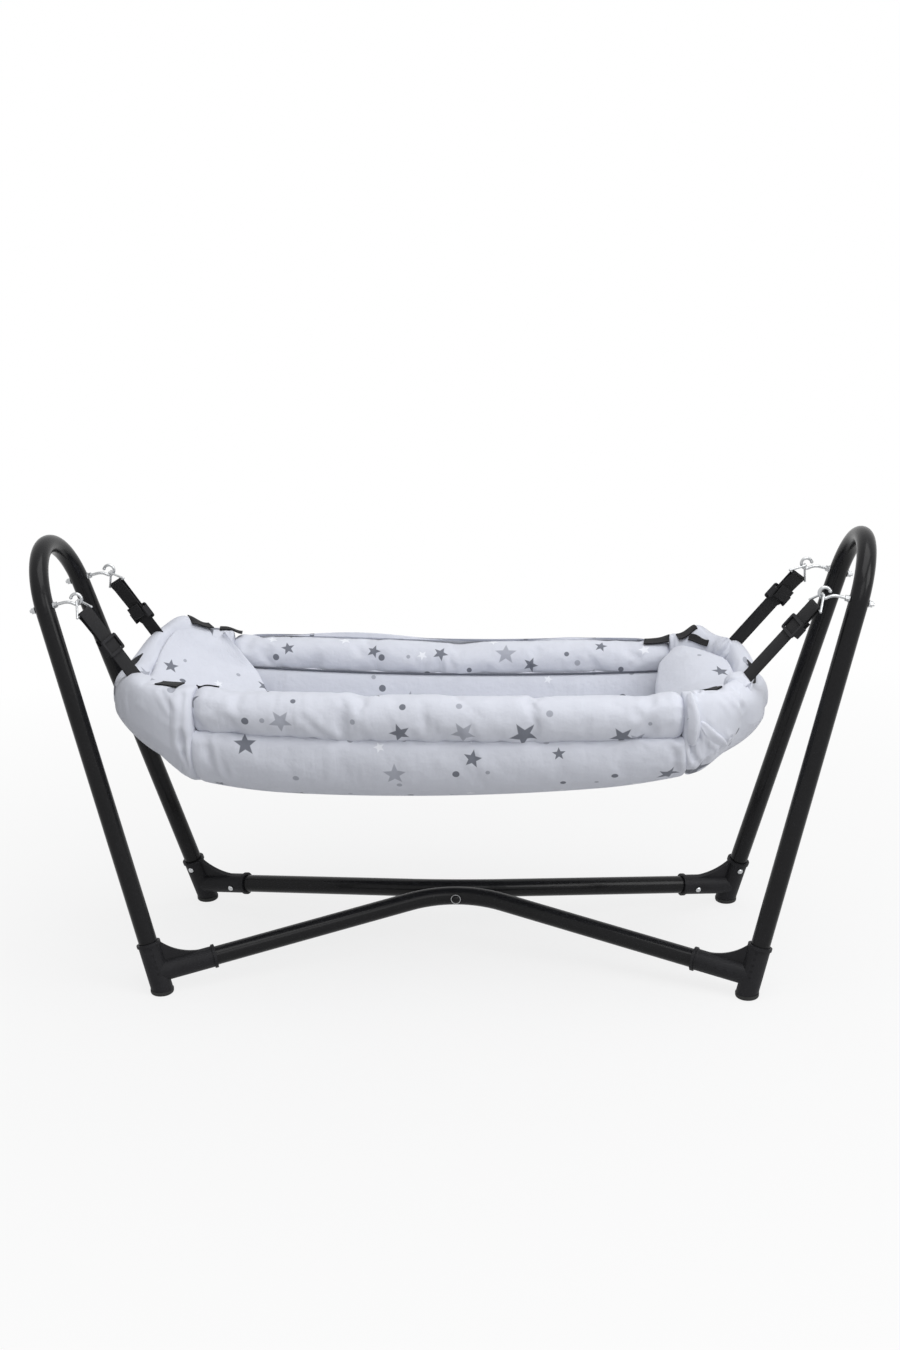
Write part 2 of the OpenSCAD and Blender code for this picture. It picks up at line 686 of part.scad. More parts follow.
// Gathered ends: half bowls of padding, from the rim down to the hammock's underside
end_turn_steps = 26;
end_steps = 8;
function end_bottom(sx) = under_h + lift(sx * end_x);
function end_inside_bottom(sx) = end_bottom(sx) + 1.24 * panel_t;
function end_point(sx, t, k, z) =
    in_place([sx * (end_x + k * end_len(sx) * cos(t)), sx * k * panel_half_w * sin(t), z]);
function gather(t, k) = 1 + gather_depth * k * (cos(gathers * t) - 1);
function bowl(sx, t, k, low, a, ripple) =
    let (fold = ripple ? gather(t, sin(a)) : 1)
    end_point(sx, t, (hub + (k - hub) * sin(a)) * fold, seam_h - (seam_h - low) * cos(a));
function ease(v) = let (c = min(1, max(0, v))) c * c * (3 - 2 * c);
function rim_lift(rearward) =
    rear_lift * ease((rearward - 5) / 32) + front_lift * exp(-pow((rearward + 37) / 16, 2));
function end_rim(sx, t, a) =
    let (
        mid = 1 - end_pad / 2,
        k = (mid + end_pad / 2 * cos(a)) * (cos(a) > 0 ? gather(t, 1) : 1)
    )
    end_point(sx, t, k, seam_h + (end_rim_h + rim_lift(sx * t)) * sin(a));
function end_ring(sx, t) =
    let (
        outer = concat(
            [for (a = steps(0, 90, end_steps)) bowl(sx, t, 1, end_bottom(sx), a, true)],
            [for (a = [22.5, 45, 67.5]) end_rim(sx, t, a)]
        ),
        inner = concat(
            [for (a = steps(0, 90, end_steps)) bowl(sx, t, 1 - end_pad, end_inside_bottom(sx), a, false)],
            [for (a = [157.5, 135, 112.5]) end_rim(sx, t, a)]
        )
    )
    concat(inner, reversed(outer));

module end_bolster(sx)
    color(cloth_grey) difference() {
        loft([for (t = steps(-90, 90, end_turn_steps)) end_ring(sx, t)]);
        rim_band(sx, 2 * gap);
        for (sy = [-1, 1]) {
            anchor_ball(sx, sy, gap);
            strap_end_room(sx, sy, anchor_r);
        }
    }

// Inner end panels: smooth padded linings of the bowls
lining_turn = 52;
lining_gap = 0.012;
lining_share = lining_t / end_left_l;
function lining_ring(sx, t) =
    let (
        back = [for (a = steps(14, 90, 7))
            bowl(sx, t, 1 - end_pad - lining_gap, end_inside_bottom(sx) + lining_t / 10, a, false)],
        front_low = end_inside_bottom(sx) + 1.1 * lining_t,
        front = [for (a = steps(14, 90, 7))
            bowl(sx, t, 1 - end_pad - lining_gap - lining_share, front_low, a, false)]
    )
    concat(front, reversed(back));

module end_panel(sx)
    color(cloth_grey) loft([for (t = steps(-lining_turn, lining_turn, 14)) lining_ring(sx, t)]);

// Rim webbing: a band on edge round the end, from one corner anchor to the other
module rim_band(sx, grow) {
    bow = end_x + 0.92 * end_len(sx) - strap_end_x;
    r = (hook_y * hook_y + bow * bow) / (2 * bow);
    sweep = 2 * asin(hook_y / r) + 20 * grow;
    low = seam_h + end_rim_h + rise(sx * (end_x + (1 - end_pad / 2) * end_len(sx))) - web_w * 0.7;
    translate([hammock_shift + sx * (strap_end_x + bow - r), 0, low - grow])
        rotate([0, 0, (sx < 0 ? 180 : 0) - sweep / 2]) rotate_extrude(angle = sweep)
            translate([r - grow, 0]) square([web_t + 2 * grow, web_w + 2 * grow]);
}

module rim_webbing(sx)
    color(webbing_black) difference() {
        rim_band(sx, 0);
        for (sy = [-1, 1]) {
            anchor_ball(sx, sy, gap);
            strap_end_room(sx, sy, anchor_r + gap);
        }
    }

module corner_part(part, sx, sy) {
    if (part == "corner") corner_connector(sx, sy);
    if (part == "foot_pad") foot_pad(sx, sy);
    if (part == "hook") hook(sx, sy);
    if (part == "ring") ring(sx, sy);
    if (part == "strap") strap(sx, sy);
    if (part == "strap_return") strap_return(sx, sy);
    if (part == "slider") slider(sx, sy);
    if (part == "strap_fold") strap_fold(sx, sy);
    if (part == "corner_anchor") corner_anchor(sx, sy);
}

for (s = SIDES) {
    arch(s[1]);
    end_bolster(s[1]);
    end_panel(s[1]);
    rim_webbing(s[1]);
}
for (e = ENDS) {
    base_tube(e[1]);
    side_bolster(e[1]);
    side_panel(e[1]);
}
for (p = CORNER_PARTS, c = CORNERS)
    corner_part(p, c[1], c[2]);
base_bolt();
base_nut();
base_washers();
corner_screws();
hook_nuts();
hook_washers();
bed_pad();
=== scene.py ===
"""Looks of a padded rocking hammock on a tubular stand.

The CAD model is the fixed frame. Each operator dresses one group of pieces, in metres and in the CAD's
own axes.
"""

import json
import math

import bmesh
import bpy
from mathutils import Matrix, Vector

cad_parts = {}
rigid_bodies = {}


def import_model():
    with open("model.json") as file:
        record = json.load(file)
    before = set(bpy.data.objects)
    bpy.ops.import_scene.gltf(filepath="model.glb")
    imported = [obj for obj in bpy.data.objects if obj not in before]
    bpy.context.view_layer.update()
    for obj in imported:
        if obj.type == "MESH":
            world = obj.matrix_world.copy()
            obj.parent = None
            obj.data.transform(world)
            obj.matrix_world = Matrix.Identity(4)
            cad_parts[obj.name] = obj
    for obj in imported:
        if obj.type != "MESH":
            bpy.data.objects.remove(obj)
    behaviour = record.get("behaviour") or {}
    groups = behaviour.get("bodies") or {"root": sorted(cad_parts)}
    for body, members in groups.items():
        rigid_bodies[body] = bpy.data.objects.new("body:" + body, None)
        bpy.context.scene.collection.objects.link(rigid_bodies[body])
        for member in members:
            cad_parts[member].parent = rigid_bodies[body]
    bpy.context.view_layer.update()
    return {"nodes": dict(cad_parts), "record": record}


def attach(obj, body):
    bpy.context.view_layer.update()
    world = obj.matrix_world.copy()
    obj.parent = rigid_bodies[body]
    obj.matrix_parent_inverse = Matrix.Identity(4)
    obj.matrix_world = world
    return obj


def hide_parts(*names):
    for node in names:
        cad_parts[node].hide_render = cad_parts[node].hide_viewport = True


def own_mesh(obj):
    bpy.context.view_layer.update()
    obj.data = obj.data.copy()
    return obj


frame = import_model()

bl_info = {
    "name": "Padded rocking hammock",
    "version": (1, 0, 0),
    "blender": (4, 5, 0),
    "location": "View3D > Sidebar > Hammock",
    "description": "Dresses the CAD frame of a padded hammock on a tubular stand",
    "category": "Object",
}

SIDES = {"left": -1, "right": 1}
ROWS = {"front": -1, "rear": 1}
CORNERS = [(f"{row}_{side}", SIDES[side], ROWS[row]) for row in ROWS for side in SIDES]


def length(name, text, default):
    """A length property in metres."""
    return bpy.props.FloatProperty(name=name, description=text, default=default, unit="LENGTH", precision=4)


def share(name, text, default):
    """A property from 0 to 1."""
    return bpy.props.FloatProperty(
        name=name, description=text, default=default, min=0, max=1, subtype="FACTOR"
    )


def angle_of(name, text, degrees):
    """An angle property, from degrees."""
    return bpy.props.FloatProperty(
        name=name, description=text, default=math.radians(degrees), subtype="ANGLE"
    )


def colour(name, text, default):
    """A colour property, in linear red, green and blue."""
    return bpy.props.FloatVectorProperty(
        name=name, description=text, default=default, min=0, max=1, size=3, subtype="COLOR"
    )


class HAMMOCK_PG_cloth(bpy.types.PropertyGroup):
    """Sizes of the padded cloth."""

    shift: length("Shift", "Offset of the hammock along the stand", -0.010)
    seam_x: length("Seam", "Middle of the hammock to the seam of a gathered end", 0.313)
    left_end: length("Left end", "Length of the left gathered end", 0.120)
    right_end: length("Right end", "Length of the right gathered end", 0.106)
    half_width: length("Half width", "Middle of the hammock to the outside of a side panel", 0.157)
    roll_y: length("Bolster place", "Middle of the hammock to the middle of a side bolster", 0.136)
    roll_width: length("Bolster width", "Width of a side bolster", 0.054)
    roll_height: length("Bolster height", "Height of a side bolster", 0.063)
    hem: length("Hem", "How much lower the rear bolster is, for the hem behind it", 0.006)
    left_peak: length("Left peak", "Rise of the rim's rear corner on the left", 0.018)
    right_peak: length("Right peak", "Rise of the rim's rear corner on the right", 0.011)
    seam_z: length("Seam height", "Height of the seam under the side bolsters", 0.347)
    under_z: length("Underside", "Height of the underside in the middle", 0.246)
    padding: length("Padding", "Thickness of the padded side panels", 0.025)
    bed: length("Bed", "Thickness of the bed pad in the middle", 0.032)
    shoulder: length("Shoulder", "Seam down to the widest point of the outside", 0.020)
    bulge: length("Bulge", "How far the widest point stands out past the seam", 0.009)
    rim: length("Rim", "Height of a gathered end's rim above the seam", 0.036)
    rear_lift: length("Rear lift", "Lift of the rim at the rear corners, up to the bolster", 0.026)
    front_lift: length("Front lift", "Lift of the rim at the front corners, up to the bolster", 0.022)
    tip_lift: length("Tip lift", "Rise of the widest point from the seams to the tip of an end", 0.024)
    sag: length("Sag", "Rise of the hammock from its middle to its ends", 0.018)
    fill: share("Fill", "How firmly the padding is stuffed", 0.7)


class HAMMOCK_PG_webbing(bpy.types.PropertyGroup):
    """Sizes of the straps."""

    width: length("Width", "Width of the webbing", 0.025)
    thickness: length("Thickness", "Thickness of the webbing", 0.0016)
    eye_x: length("Hook eye X", "Middle of the stand to the centre of a hook's eye", 0.47647)
    eye_y: length("Hook eye Y", "Middle of the stand to a hook's eye, front to rear", 0.08381)
    eye_z: length("Hook eye Z", "Height of the centre of a hook's eye", 0.52224)
    end_x: length("Strap end", "Middle of the hammock to a strap's lower end", 0.395)
    end_z: length("Strap end height", "Height of a strap's lower end", 0.415)
    ring: length("Ring", "Centre of a hook's eye to the ring's bar", 0.020)
    slider_left: length("Left slider", "Centre of a hook's eye to a left slider's bar", 0.075)
    slider_right: length("Right slider", "Centre of a hook's eye to a right slider's bar", 0.057)
    front_turn: angle_of("Front turn", "Turn of the front straps about their length", 20)
    rear_turn: angle_of("Rear turn", "Turn of the rear straps about their length", 58)


class HAMMOCK_PG_colours(bpy.types.PropertyGroup):
    """Colours of the finishes."""

    enamel: colour("Enamel", "Gloss black tube", (0.010, 0.010, 0.011))
    plastic: colour("Plastic", "Moulded black connectors and sliders", (0.016, 0.016, 0.018))
    rubber: colour("Rubber", "Foot pads", (0.014, 0.014, 0.014))
    zinc: colour("Zinc", "Hooks, rings and fasteners", (0.48, 0.49, 0.50))
    webbing: colour("Webbing", "Black straps", (0.014, 0.014, 0.015))
    cloth: colour("Cloth", "Ground of the printed cloth", (0.62, 0.64, 0.71))
    slate: colour("Slate", "Dark stars and dots", (0.115, 0.125, 0.155))
    ash: colour("Ash", "Middle grey stars", (0.34, 0.355, 0.41))
    chalk: colour("Chalk", "Pale stars", (0.78, 0.80, 0.85))
    reverse: colour("Reverse", "Unprinted reverse of the cloth", (0.90, 0.91, 0.93))
    floor: colour("Floor", "Pale floor", (0.62, 0.62, 0.623))


def cloth_sizes():
    return bpy.context.scene.hammock_cloth


def webbing_sizes():
    return bpy.context.scene.hammock_webbing


def colours():
    return bpy.context.scene.hammock_colours


def opaque(rgb, factor=1.0):
    """A colour for a shader's socket, made darker or lighter by a factor."""
    return (*(min(1.0, c * factor) for c in rgb), 1.0)


class Bench:
    """Places shader nodes in one tree and joins them as they are placed."""

    def __init__(self, tree):
        self.tree = tree

    def add(self, kind, *feeds, **settings):
        made = self.tree.nodes.new(kind)
        for name, value in settings.items():
            setattr(made, name, value)
        for socket, value in zip(made.inputs, feeds):
            self.feed(socket, value)
        return made

    def named(self, kind, feeds, **settings):
        """Places a node whose inputs are fed by their names."""
        made = self.add(kind, **settings)
        for name, value in feeds.items():
            self.feed(made.inputs[name], value)
        return made

    def feed(self, socket, value):
        if isinstance(value, bpy.types.NodeSocket):
            self.tree.links.new(value, socket)
        elif value is not None:
            socket.default_value = value

    def math(self, operation, *feeds):
        return self.add("ShaderNodeMath", *feeds, operation=operation).outputs[0]

    def vector(self, operation, *feeds):
        return self.add("ShaderNodeVectorMath", *feeds, operation=operation).outputs[0]

    def scaled(self, vector, factor):
        return self.add("ShaderNodeVectorMath", vector, None, None, factor, operation="SCALE").outputs[0]

    def distance(self, vector):
        return self.add("ShaderNodeVectorMath", vector, operation="LENGTH").outputs["Value"]

    def mix(self, factor, below, above):
        feeds = {"Factor": factor, "A": below, "B": above}
        return self.named("ShaderNodeMix", feeds, data_type="RGBA").outputs["Result"]

    def span(self, value, low, high, to_low=0.0, to_high=1.0):
        return self.add("ShaderNodeMapRange", value, low, high, to_low, to_high).outputs[0]

    def noise(self, vector, scale, detail):
        feeds = {"Vector": vector, "Scale": scale, "Detail": detail, "Roughness": 0.55}
        return self.named("ShaderNodeTexNoise", feeds).outputs[0]

    def bump(self, height, strength, distance, under=None):
        feeds = {"Strength": strength, "Distance": distance, "Height": height, "Normal": under}
        return self.named("ShaderNodeBump", feeds).outputs[0]

    def group(self, name, **feeds):
        by_label = {label.capitalize(): value for label, value in feeds.items()}
        return self.named("ShaderNodeGroup", by_label, node_tree=group_tree(name)).outputs[0]

    def place(self, kind):
        return self.add("ShaderNodeTexCoord").outputs[kind]


def new_group(name, output, **values):
    """An empty node group that turns a place and some values into one value, with a bench to build on."""
    tree = bpy.data.node_groups.new(name, "ShaderNodeTree")
    tree.interface.new_socket("Place", in_out="INPUT", socket_type="NodeSocketVector")
    for label, value in values.items():
        socket = tree.interface.new_socket(label.capitalize(), in_out="INPUT", socket_type="NodeSocketFloat")
        socket.default_value = value
    tree.interface.new_socket(output, in_out="OUTPUT", socket_type="NodeSocketFloat")
    bench = Bench(tree)
    entry = bench.add("NodeGroupInput")
    leave = bench.add("NodeGroupOutput")
    return bench, {s.name: s for s in entry.outputs if s.name}, leave.inputs[0]


SCATTER = {"cell": 0.09, "radius": 0.012, "amount": 0.6, "seed": 0.0}


def scatter_cell(bench, given):
    """One motif a cell, moved, turned and sized at random.

    Gives its own coordinates, its radius, its turn and whether it is there.
    """
    seed = given["Seed"]
    skew, wander = 0.37, 0.5
    smallest, largest = 0.68, 1.12
    offset = bench.add("ShaderNodeCombineXYZ", seed, bench.math("MULTIPLY", seed, skew), 0.0)
    spread = bench.scaled(given["Place"], bench.math("DIVIDE", 1.0, given["Cell"]))
    spread = bench.vector("ADD", spread, offset.outputs[0])
    cell = bench.vector("FLOOR", spread)
    chance = bench.add("ShaderNodeTexWhiteNoise", cell, noise_dimensions="3D")
    moved = bench.vector("SUBTRACT", chance.outputs["Color"], (0.5, 0.5, 0.5))
    local = bench.vector("SUBTRACT", bench.vector("FRACTION", spread), (0.5, 0.5, 0.0))
    local = bench.vector("SUBTRACT", local, bench.scaled(moved, wander))
    local = bench.vector("MULTIPLY", bench.scaled(local, given["Cell"]), (1.0, 1.0, 0.0))
    other_cell = bench.vector("ADD", cell, (7.3, 2.9, 0.0))
    again = bench.add("ShaderNodeTexWhiteNoise", other_cell, noise_dimensions="3D")
    parts = bench.add("ShaderNodeSeparateColor", again.outputs["Color"])
    factor = bench.span(parts.outputs[1], 0.0, 1.0, smallest, largest)
    radius = bench.math("MULTIPLY", given["Radius"], factor)
    there = bench.math("LESS_THAN", chance.outputs["Value"], given["Amount"])
    return local, radius, parts.outputs[0], there


def star_print_group():
    """Printed five-pointed stars, scattered one to a cell."""
    bench, given, out = new_group("star_print", "Mask", **SCATTER)
    local, radius, turn, there = scatter_cell(bench, given)
    xyz = bench.add("ShaderNodeSeparateXYZ", local)
    away = bench.distance(local)
    point, half_point, waist, soft = math.tau / 5, math.tau / 10, 0.43, 0.02
    angle = bench.math("ARCTAN2", xyz.outputs[1], xyz.outputs[0])
    angle = bench.math("ADD", angle, bench.math("MULTIPLY_ADD", turn, math.tau, 2 * math.tau))
    fold = bench.math("SUBTRACT", bench.math("MODULO", angle, point), half_point)
    fold = bench.math("ABSOLUTE", fold)
    unit = bench.math("DIVIDE", away, radius)
    along = bench.math("MULTIPLY", unit, bench.math("COSINE", fold))
    across = bench.math("MULTIPLY", unit, bench.math("SINE", fold))
    edge = bench.math("MULTIPLY", bench.math("SUBTRACT", along, 1.0), waist * math.sin(half_point))
    edge = bench.math("MULTIPLY_ADD", across, 1 - waist * math.cos(half_point), edge)
    inside = bench.span(edge, -soft, soft, 1.0, 0.0)
    bench.feed(out, bench.math("MULTIPLY", inside, there))
    return bench.tree


def dot_print_group():
    """Printed round dots, scattered one to a cell."""
    bench, given, out = new_group("dot_print", "Mask", **SCATTER)
    local, radius, _, there = scatter_cell(bench, given)
    soft = 0.08
    unit = bench.math("DIVIDE", bench.distance(local), radius)
    inside = bench.span(unit, 1 - soft, 1 + soft, 1.0, 0.0)
    bench.feed(out, bench.math("MULTIPLY", inside, there))
    return bench.tree


def weave_group():
    """Height of a plain weave: two sets of threads that pass over and under each other."""
    bench, given, out = new_group("weave", "Height", thread=0.0006)
    turns = bench.math("DIVIDE", math.pi, given["Thread"])
    xyz = bench.add("ShaderNodeSeparateXYZ", bench.scaled(given["Place"], turns))
    warp = bench.math("SINE", xyz.outputs[0])
    weft = bench.math("SINE", xyz.outputs[1])
    bench.feed(out, bench.span(bench.math("MULTIPLY", warp, weft), -1.0, 1.0))
    return bench.tree


def grain_group():
    """Fine uneven grain, as a value from 0 to 1."""
    bench, given, out = new_group("grain", "Value", size=0.001)
    fine_share, broad_scale = 0.6, 0.05
    fine = bench.noise(given["Place"], bench.math("DIVIDE", 1.0, given["Size"]), 2.0)
    broad = bench.noise(given["Place"], bench.math("DIVIDE", broad_scale, given["Size"]), 2.0)
    fine = bench.math("MULTIPLY", fine, fine_share)
    broad = bench.math("MULTIPLY", broad, 1 - fine_share)
    bench.feed(out, bench.math("ADD", fine, broad))
    return bench.tree


def group_tree(name):
    """A shared node group, built the first time it is asked for."""
    makers = {
        "star_print": star_print_group,
        "dot_print": dot_print_group,
        "weave": weave_group,
        "grain": grain_group,
    }
    return bpy.data.node_groups.get(name) or makers[name]()


def new_material(name):
    """A material with the sockets of its Principled shader and a bench to build on."""
    material = bpy.data.materials.new(name)
    material.use_nodes = True
    shader = material.node_tree.nodes["Principled BSDF"]
    return material, Bench(material.node_tree), shader.inputs


def grained(name, base, size, low, high, depth, vary=0.35):
    """A material with grain in its colour, gloss and surface."""
    material, bench, sockets = new_material(name)
    grain = bench.group("grain", place=bench.place("Object"), size=size)
    shades = bench.mix(bench.span(grain, 0.3, 0.7), opaque(base, 1 - vary), opaque(base, 1 + vary))
    bench.feed(sockets["Base Color"], shades)
    bench.feed(sockets["Roughness"], bench.span(grain, 0.3, 0.7, low, high))
    bench.feed(sockets["Normal"], bench.bump(grain, 0.35, depth))
    return material, sockets


def enamel_material():
    material, sockets = grained("gloss_enamel", colours().enamel, 0.004, 0.20, 0.30, 0.00008, 0.2)
    sockets["Specular IOR Level"].default_value = 0.12
    sockets["Coat Weight"].default_value = 0.06
    sockets["Coat Roughness"].default_value = 0.06
    return material


def plastic_material():
    material, sockets = grained("moulded_plastic", colours().plastic, 0.0009, 0.42, 0.6, 0.00012)
    sockets["Specular IOR Level"].default_value = 0.14
    return material


def rubber_material():
    return grained("foot_rubber", colours().rubber, 0.0012, 0.7, 0.9, 0.0002)[0]


def zinc_material():
    material, sockets = grained("zinc_plate", colours().zinc, 0.0016, 0.22, 0.42, 0.00005, 0.12)
    sockets["Metallic"].default_value = 1.0
    return material


def webbing_material():
    """Black webbing with a coarse weave, on the strap's own UV map."""
    material, bench, sockets = new_material("black_webbing")
    weave = bench.group("weave", place=bench.place("UV"), thread=0.0011)
    base = colours().webbing
    bench.feed(sockets["Base Color"], bench.mix(weave, opaque(base), opaque(base, 1.7)))
    bench.feed(sockets["Roughness"], bench.span(weave, 0.0, 1.0, 0.9, 0.7))
    bench.feed(sockets["Normal"], bench.bump(weave, 0.6, 0.0003))
    sockets["Specular IOR Level"].default_value = 0.14
    sockets["Sheen Weight"].default_value = 0.04
    return material


# Each motif's print, cell, radius, share of the cells that have it, seed and ink
MOTIFS = [
    ("star_print", 0.105, 0.0090, 0.55, 31.0, "chalk"),
    ("dot_print", 0.062, 0.0038, 0.50, 53.0, "ash"),
    ("star_print", 0.112, 0.0150, 0.55, 17.0, "ash"),
    ("dot_print", 0.068, 0.0047, 0.42, 72.0, "slate"),
    ("star_print", 0.115, 0.0112, 0.65, 12.0, "slate"),
    ("star_print", 0.135, 0.0178, 0.65, 95.0, "slate"),
]


def cloth_material(name="printed_cloth", reverse=0.0):
    """Pale cotton with a weave, and stars and dots on its face.

    The first strip of a skin's UV map, as wide as reverse, shows the unprinted side.
    """
    material, bench, sockets = new_material(name)
    place = bench.place("UV")
    palette = colours()
    mottle = bench.span(bench.noise(place, 26.0, 4.0), 0.35, 0.65)
    ink_cover, reverse_blend = 0.92, 0.0004
    tint = bench.mix(mottle, opaque(palette.cloth, 0.97), opaque(palette.cloth))
    for kind, cell, radius, amount, seed, ink in MOTIFS:
        mask = bench.group(kind, place=place, cell=cell, radius=radius, amount=amount, seed=seed)
        tint = bench.mix(bench.math("MULTIPLY", mask, ink_cover), tint, opaque(getattr(palette, ink)))
    if reverse:
        across = bench.add("ShaderNodeSeparateXYZ", place).outputs[1]
        inner = bench.span(across, reverse, reverse + reverse_blend, 1.0, 0.0)
        tint = bench.mix(inner, tint, opaque(palette.reverse))
    weave = bench.group("weave", place=place, thread=0.00055)
    soft = bench.noise(place, 38.0, 3.0)
    pucker = bench.noise(bench.vector("MULTIPLY", place, (48.0, 9.0, 0.0)), 1.0, 1.0)
    patch = bench.span(bench.noise(place, 9.0, 1.0), 0.42, 0.68)
    pucker = bench.math("MULTIPLY", bench.span(pucker, 0.46, 0.72), patch)
    bench.feed(sockets["Base Color"], tint)
    bench.feed(sockets["Roughness"], bench.span(weave, 0.0, 1.0, 0.92, 0.8))
    crumple = bench.bump(pucker, 0.3, 0.004, bench.bump(soft, 0.35, 0.006))
    bench.feed(sockets["Normal"], bench.bump(weave, 0.25, 0.0002, crumple))
    sockets["Sheen Weight"].default_value = 0.12
    sockets["Sheen Roughness"].default_value = 0.5
    return material


def hem_material():
    """The printed cloth with its reverse on the side of the hem that faces the bolster."""
    return cloth_material("hem_cloth", reverse=0.0484)


# Dark slate cord: partly the seam's own piping, partly painted shade along the seam under the rear bolster
def piping_and_shade_material():
    material, bench, sockets = new_material("slate_piping")
    weave = bench.group("weave", place=bench.place("Object"), thread=0.0008)
    base = colours().slate
    bench.feed(sockets["Base Color"], bench.mix(weave, opaque(base, 0.8), opaque(base)))
    bench.feed(sockets["Roughness"], bench.span(weave, 0.0, 1.0, 0.9, 0.75))
    return material


MATERIALS = {
    "enamel": enamel_material,
    "plastic": plastic_material,
    "rubber": rubber_material,
    "zinc": zinc_material,
    "webbing": webbing_material,
    "cloth": cloth_material,
    "hem": hem_material,
    "piping": piping_and_shade_material,
}
_made = {}


def paint(obj, name):
    """Gives an object the finish of that short name, which is made the first time it is asked for."""
    if name not in _made:
        _made[name] = MATERIALS[name]()
    obj.data.materials.clear()
    obj.data.materials.append(_made[name])


def apply_modifier(obj, modifier):
    """Applies a modifier, with its object selected alone and active."""
    bpy.ops.object.select_all(action="DESELECT")
    obj.select_set(True)
    bpy.context.view_layer.objects.active = obj
    bpy.ops.object.modifier_apply(modifier=modifier.name)


def smoothed(obj, levels=1):
    """Subdivides a skin and shades it smooth."""
    modifier = obj.modifiers.new("Subdivision", "SUBSURF")
    modifier.levels = levels
    modifier.render_levels = levels
    apply_modifier(obj, modifier)
    bpy.ops.object.shade_smooth()


def steps(low, high, count):
    return [low + (high - low) * i / count for i in range(count + 1)]


def eased(value):
    """A smooth step from 0 to 1."""
    part = min(1.0, max(0.0, value))
    return part**2 * (3 - 2 * part)


def hump(value, middle, width):
    """1 at the middle, and fading out on both sides."""
    return math.exp(-(((value - middle) / width) ** 2))


def near_end(value, end, reach):
    """0 up to reach before an end on either side, and 1 at it."""
    return max(0.0, abs(value) - end + reach) / reach


TILT = math.radians(1.0)
UNDER_TILT = math.radians(2.3)


def hammock_rise(x):
    """How far a point at x along the hammock is lifted by its sag and its tilt."""
    half_length = 0.435
    return cloth_sizes().sag * (x / half_length) ** 2 - x * math.tan(TILT)


def under_lift(x):
    """How far the underside is lifted at x along the hammock, where it is drawn up, bowed and tilted."""
    draw, draw_reach = 0.010, 0.115
    bow, bow_span = 0.004, 0.2
    drawn = draw * near_end(x, cloth_sizes().seam_x, draw_reach) ** 2
    return drawn + bow * (x / bow_span) ** 2 + x * math.tan(UNDER_TILT)


def in_place(x, y, z):
    return Vector((x + cloth_sizes().shift, y, z + hammock_rise(x)))


def new_piece(name, mesh, finish):
    piece = bpy.data.objects.new(name, mesh)
    bpy.context.scene.collection.objects.link(piece)
    paint(piece, finish)
    return piece


def mesh_of(work, name):
    """The mesh that a bmesh holds."""
    mesh = bpy.data.meshes.new(name)
    work.to_mesh(mesh)
    work.free()
    return mesh


def ring_lengths(ring):
    """Distance from a ring's first point to each of its points, and back to the first."""
    total, found = 0.0, [0.0]
    for a, b in zip(ring, ring[1:] + ring[:1]):
        total += (b - a).length
        found.append(total)
    return found


def make_skin(name, rings, finish):
    """A closed skin through rings of points, with a UV map in metres along and round it.

    Each name has its own offset along the print, as if it were cut from its own stretch of cloth.
    """
    round_points = len(rings[0])
    cut = sum(map(ord, name)) * 0.377 % 4
    vertices = [p for ring in rings for p in ring]
    across = ring_lengths(rings[len(rings) // 2])
    along = [cut]
    for a, b in zip(rings, rings[1:]):
        step = sum(((q - p).length for p, q in zip(a, b)), 0.0) / round_points
        along.append(along[-1] + step)
    faces, places = [], []
    for i in range(len(rings) - 1):
        for j in range(round_points):
            k = (j + 1) % round_points
            corners = [(i, j, j), (i + 1, j, j), (i + 1, k, j + 1), (i, k, j + 1)]
            faces.append([r * round_points + c for r, c, _ in corners])
            places.append([(along[r], across[v]) for r, _, v in corners])
    for i in (0, len(rings) - 1):
        for j in range(round_points // 2 - 1):
            back = round_points - 1 - j
            corners = [j, j + 1, back - 1, back]
            faces.append([i * round_points + c for c in corners])
            places.append([(along[i], across[c]) for c in corners])
    mesh = bpy.data.meshes.new(name)
    mesh.from_pydata(vertices, [], faces)
    layer = mesh.uv_layers.new(name="skin")
    for polygon, spots in zip(mesh.polygons, places):
        for loop, spot in zip(polygon.loop_indices, spots):
            layer.data[loop].uv = spot
    work = bmesh.new()
    work.from_mesh(mesh)
    bmesh.ops.recalc_face_normals(work, faces=work.faces)
    work.to_mesh(mesh)
    work.free()
    return new_piece(name, mesh, finish)


def held_points(rings, ends, first, last):
    """Numbers of the points a seam holds: whole rings at both ends, and points outside first to last."""
    count = len(rings[0])
    found = []
    for i in range(len(rings)):
        at_end = min(i, len(rings) - 1 - i) < ends
        found += [i * count + j for j in range(count) if at_end or j < first or j >= last]
    return found


def plump(skin, held, pressure, slack, cap):
    """Swells a skin as cloth that is held at its seams, and caps how far each point may move."""
    rest = [v.co.copy() for v in skin.data.vertices]
    seam = skin.vertex_groups.new(name="seam")
    seam.add(held, 1.0, "REPLACE")
    cloth = skin.modifiers.new("Cloth", "CLOTH")
    setting = cloth.settings
    setting.quality = 6
    setting.mass = 0.15
    setting.tension_stiffness = 14
    setting.compression_stiffness = 10
    setting.shear_stiffness = 5
    setting.bending_stiffness = 0.3
    setting.vertex_group_mass = seam.name
    setting.use_pressure = True
    setting.uniform_pressure_force = pressure
    setting.shrink_min = -slack
    setting.effector_weights.gravity = 0
    cloth.collision_settings.use_collision = False
    frames = 20
    cloth.point_cache.frame_start = 1
    cloth.point_cache.frame_end = frames
    for number in range(1, frames + 1):
        bpy.context.scene.frame_set(number)
    apply_modifier(skin, cloth)
    bpy.context.scene.frame_set(1)
    for vertex, was in zip(skin.data.vertices, rest):
        move = vertex.co - was
        if move.length > cap:
            vertex.co = was + move * (cap / move.length)
    skin.vertex_groups.clear()


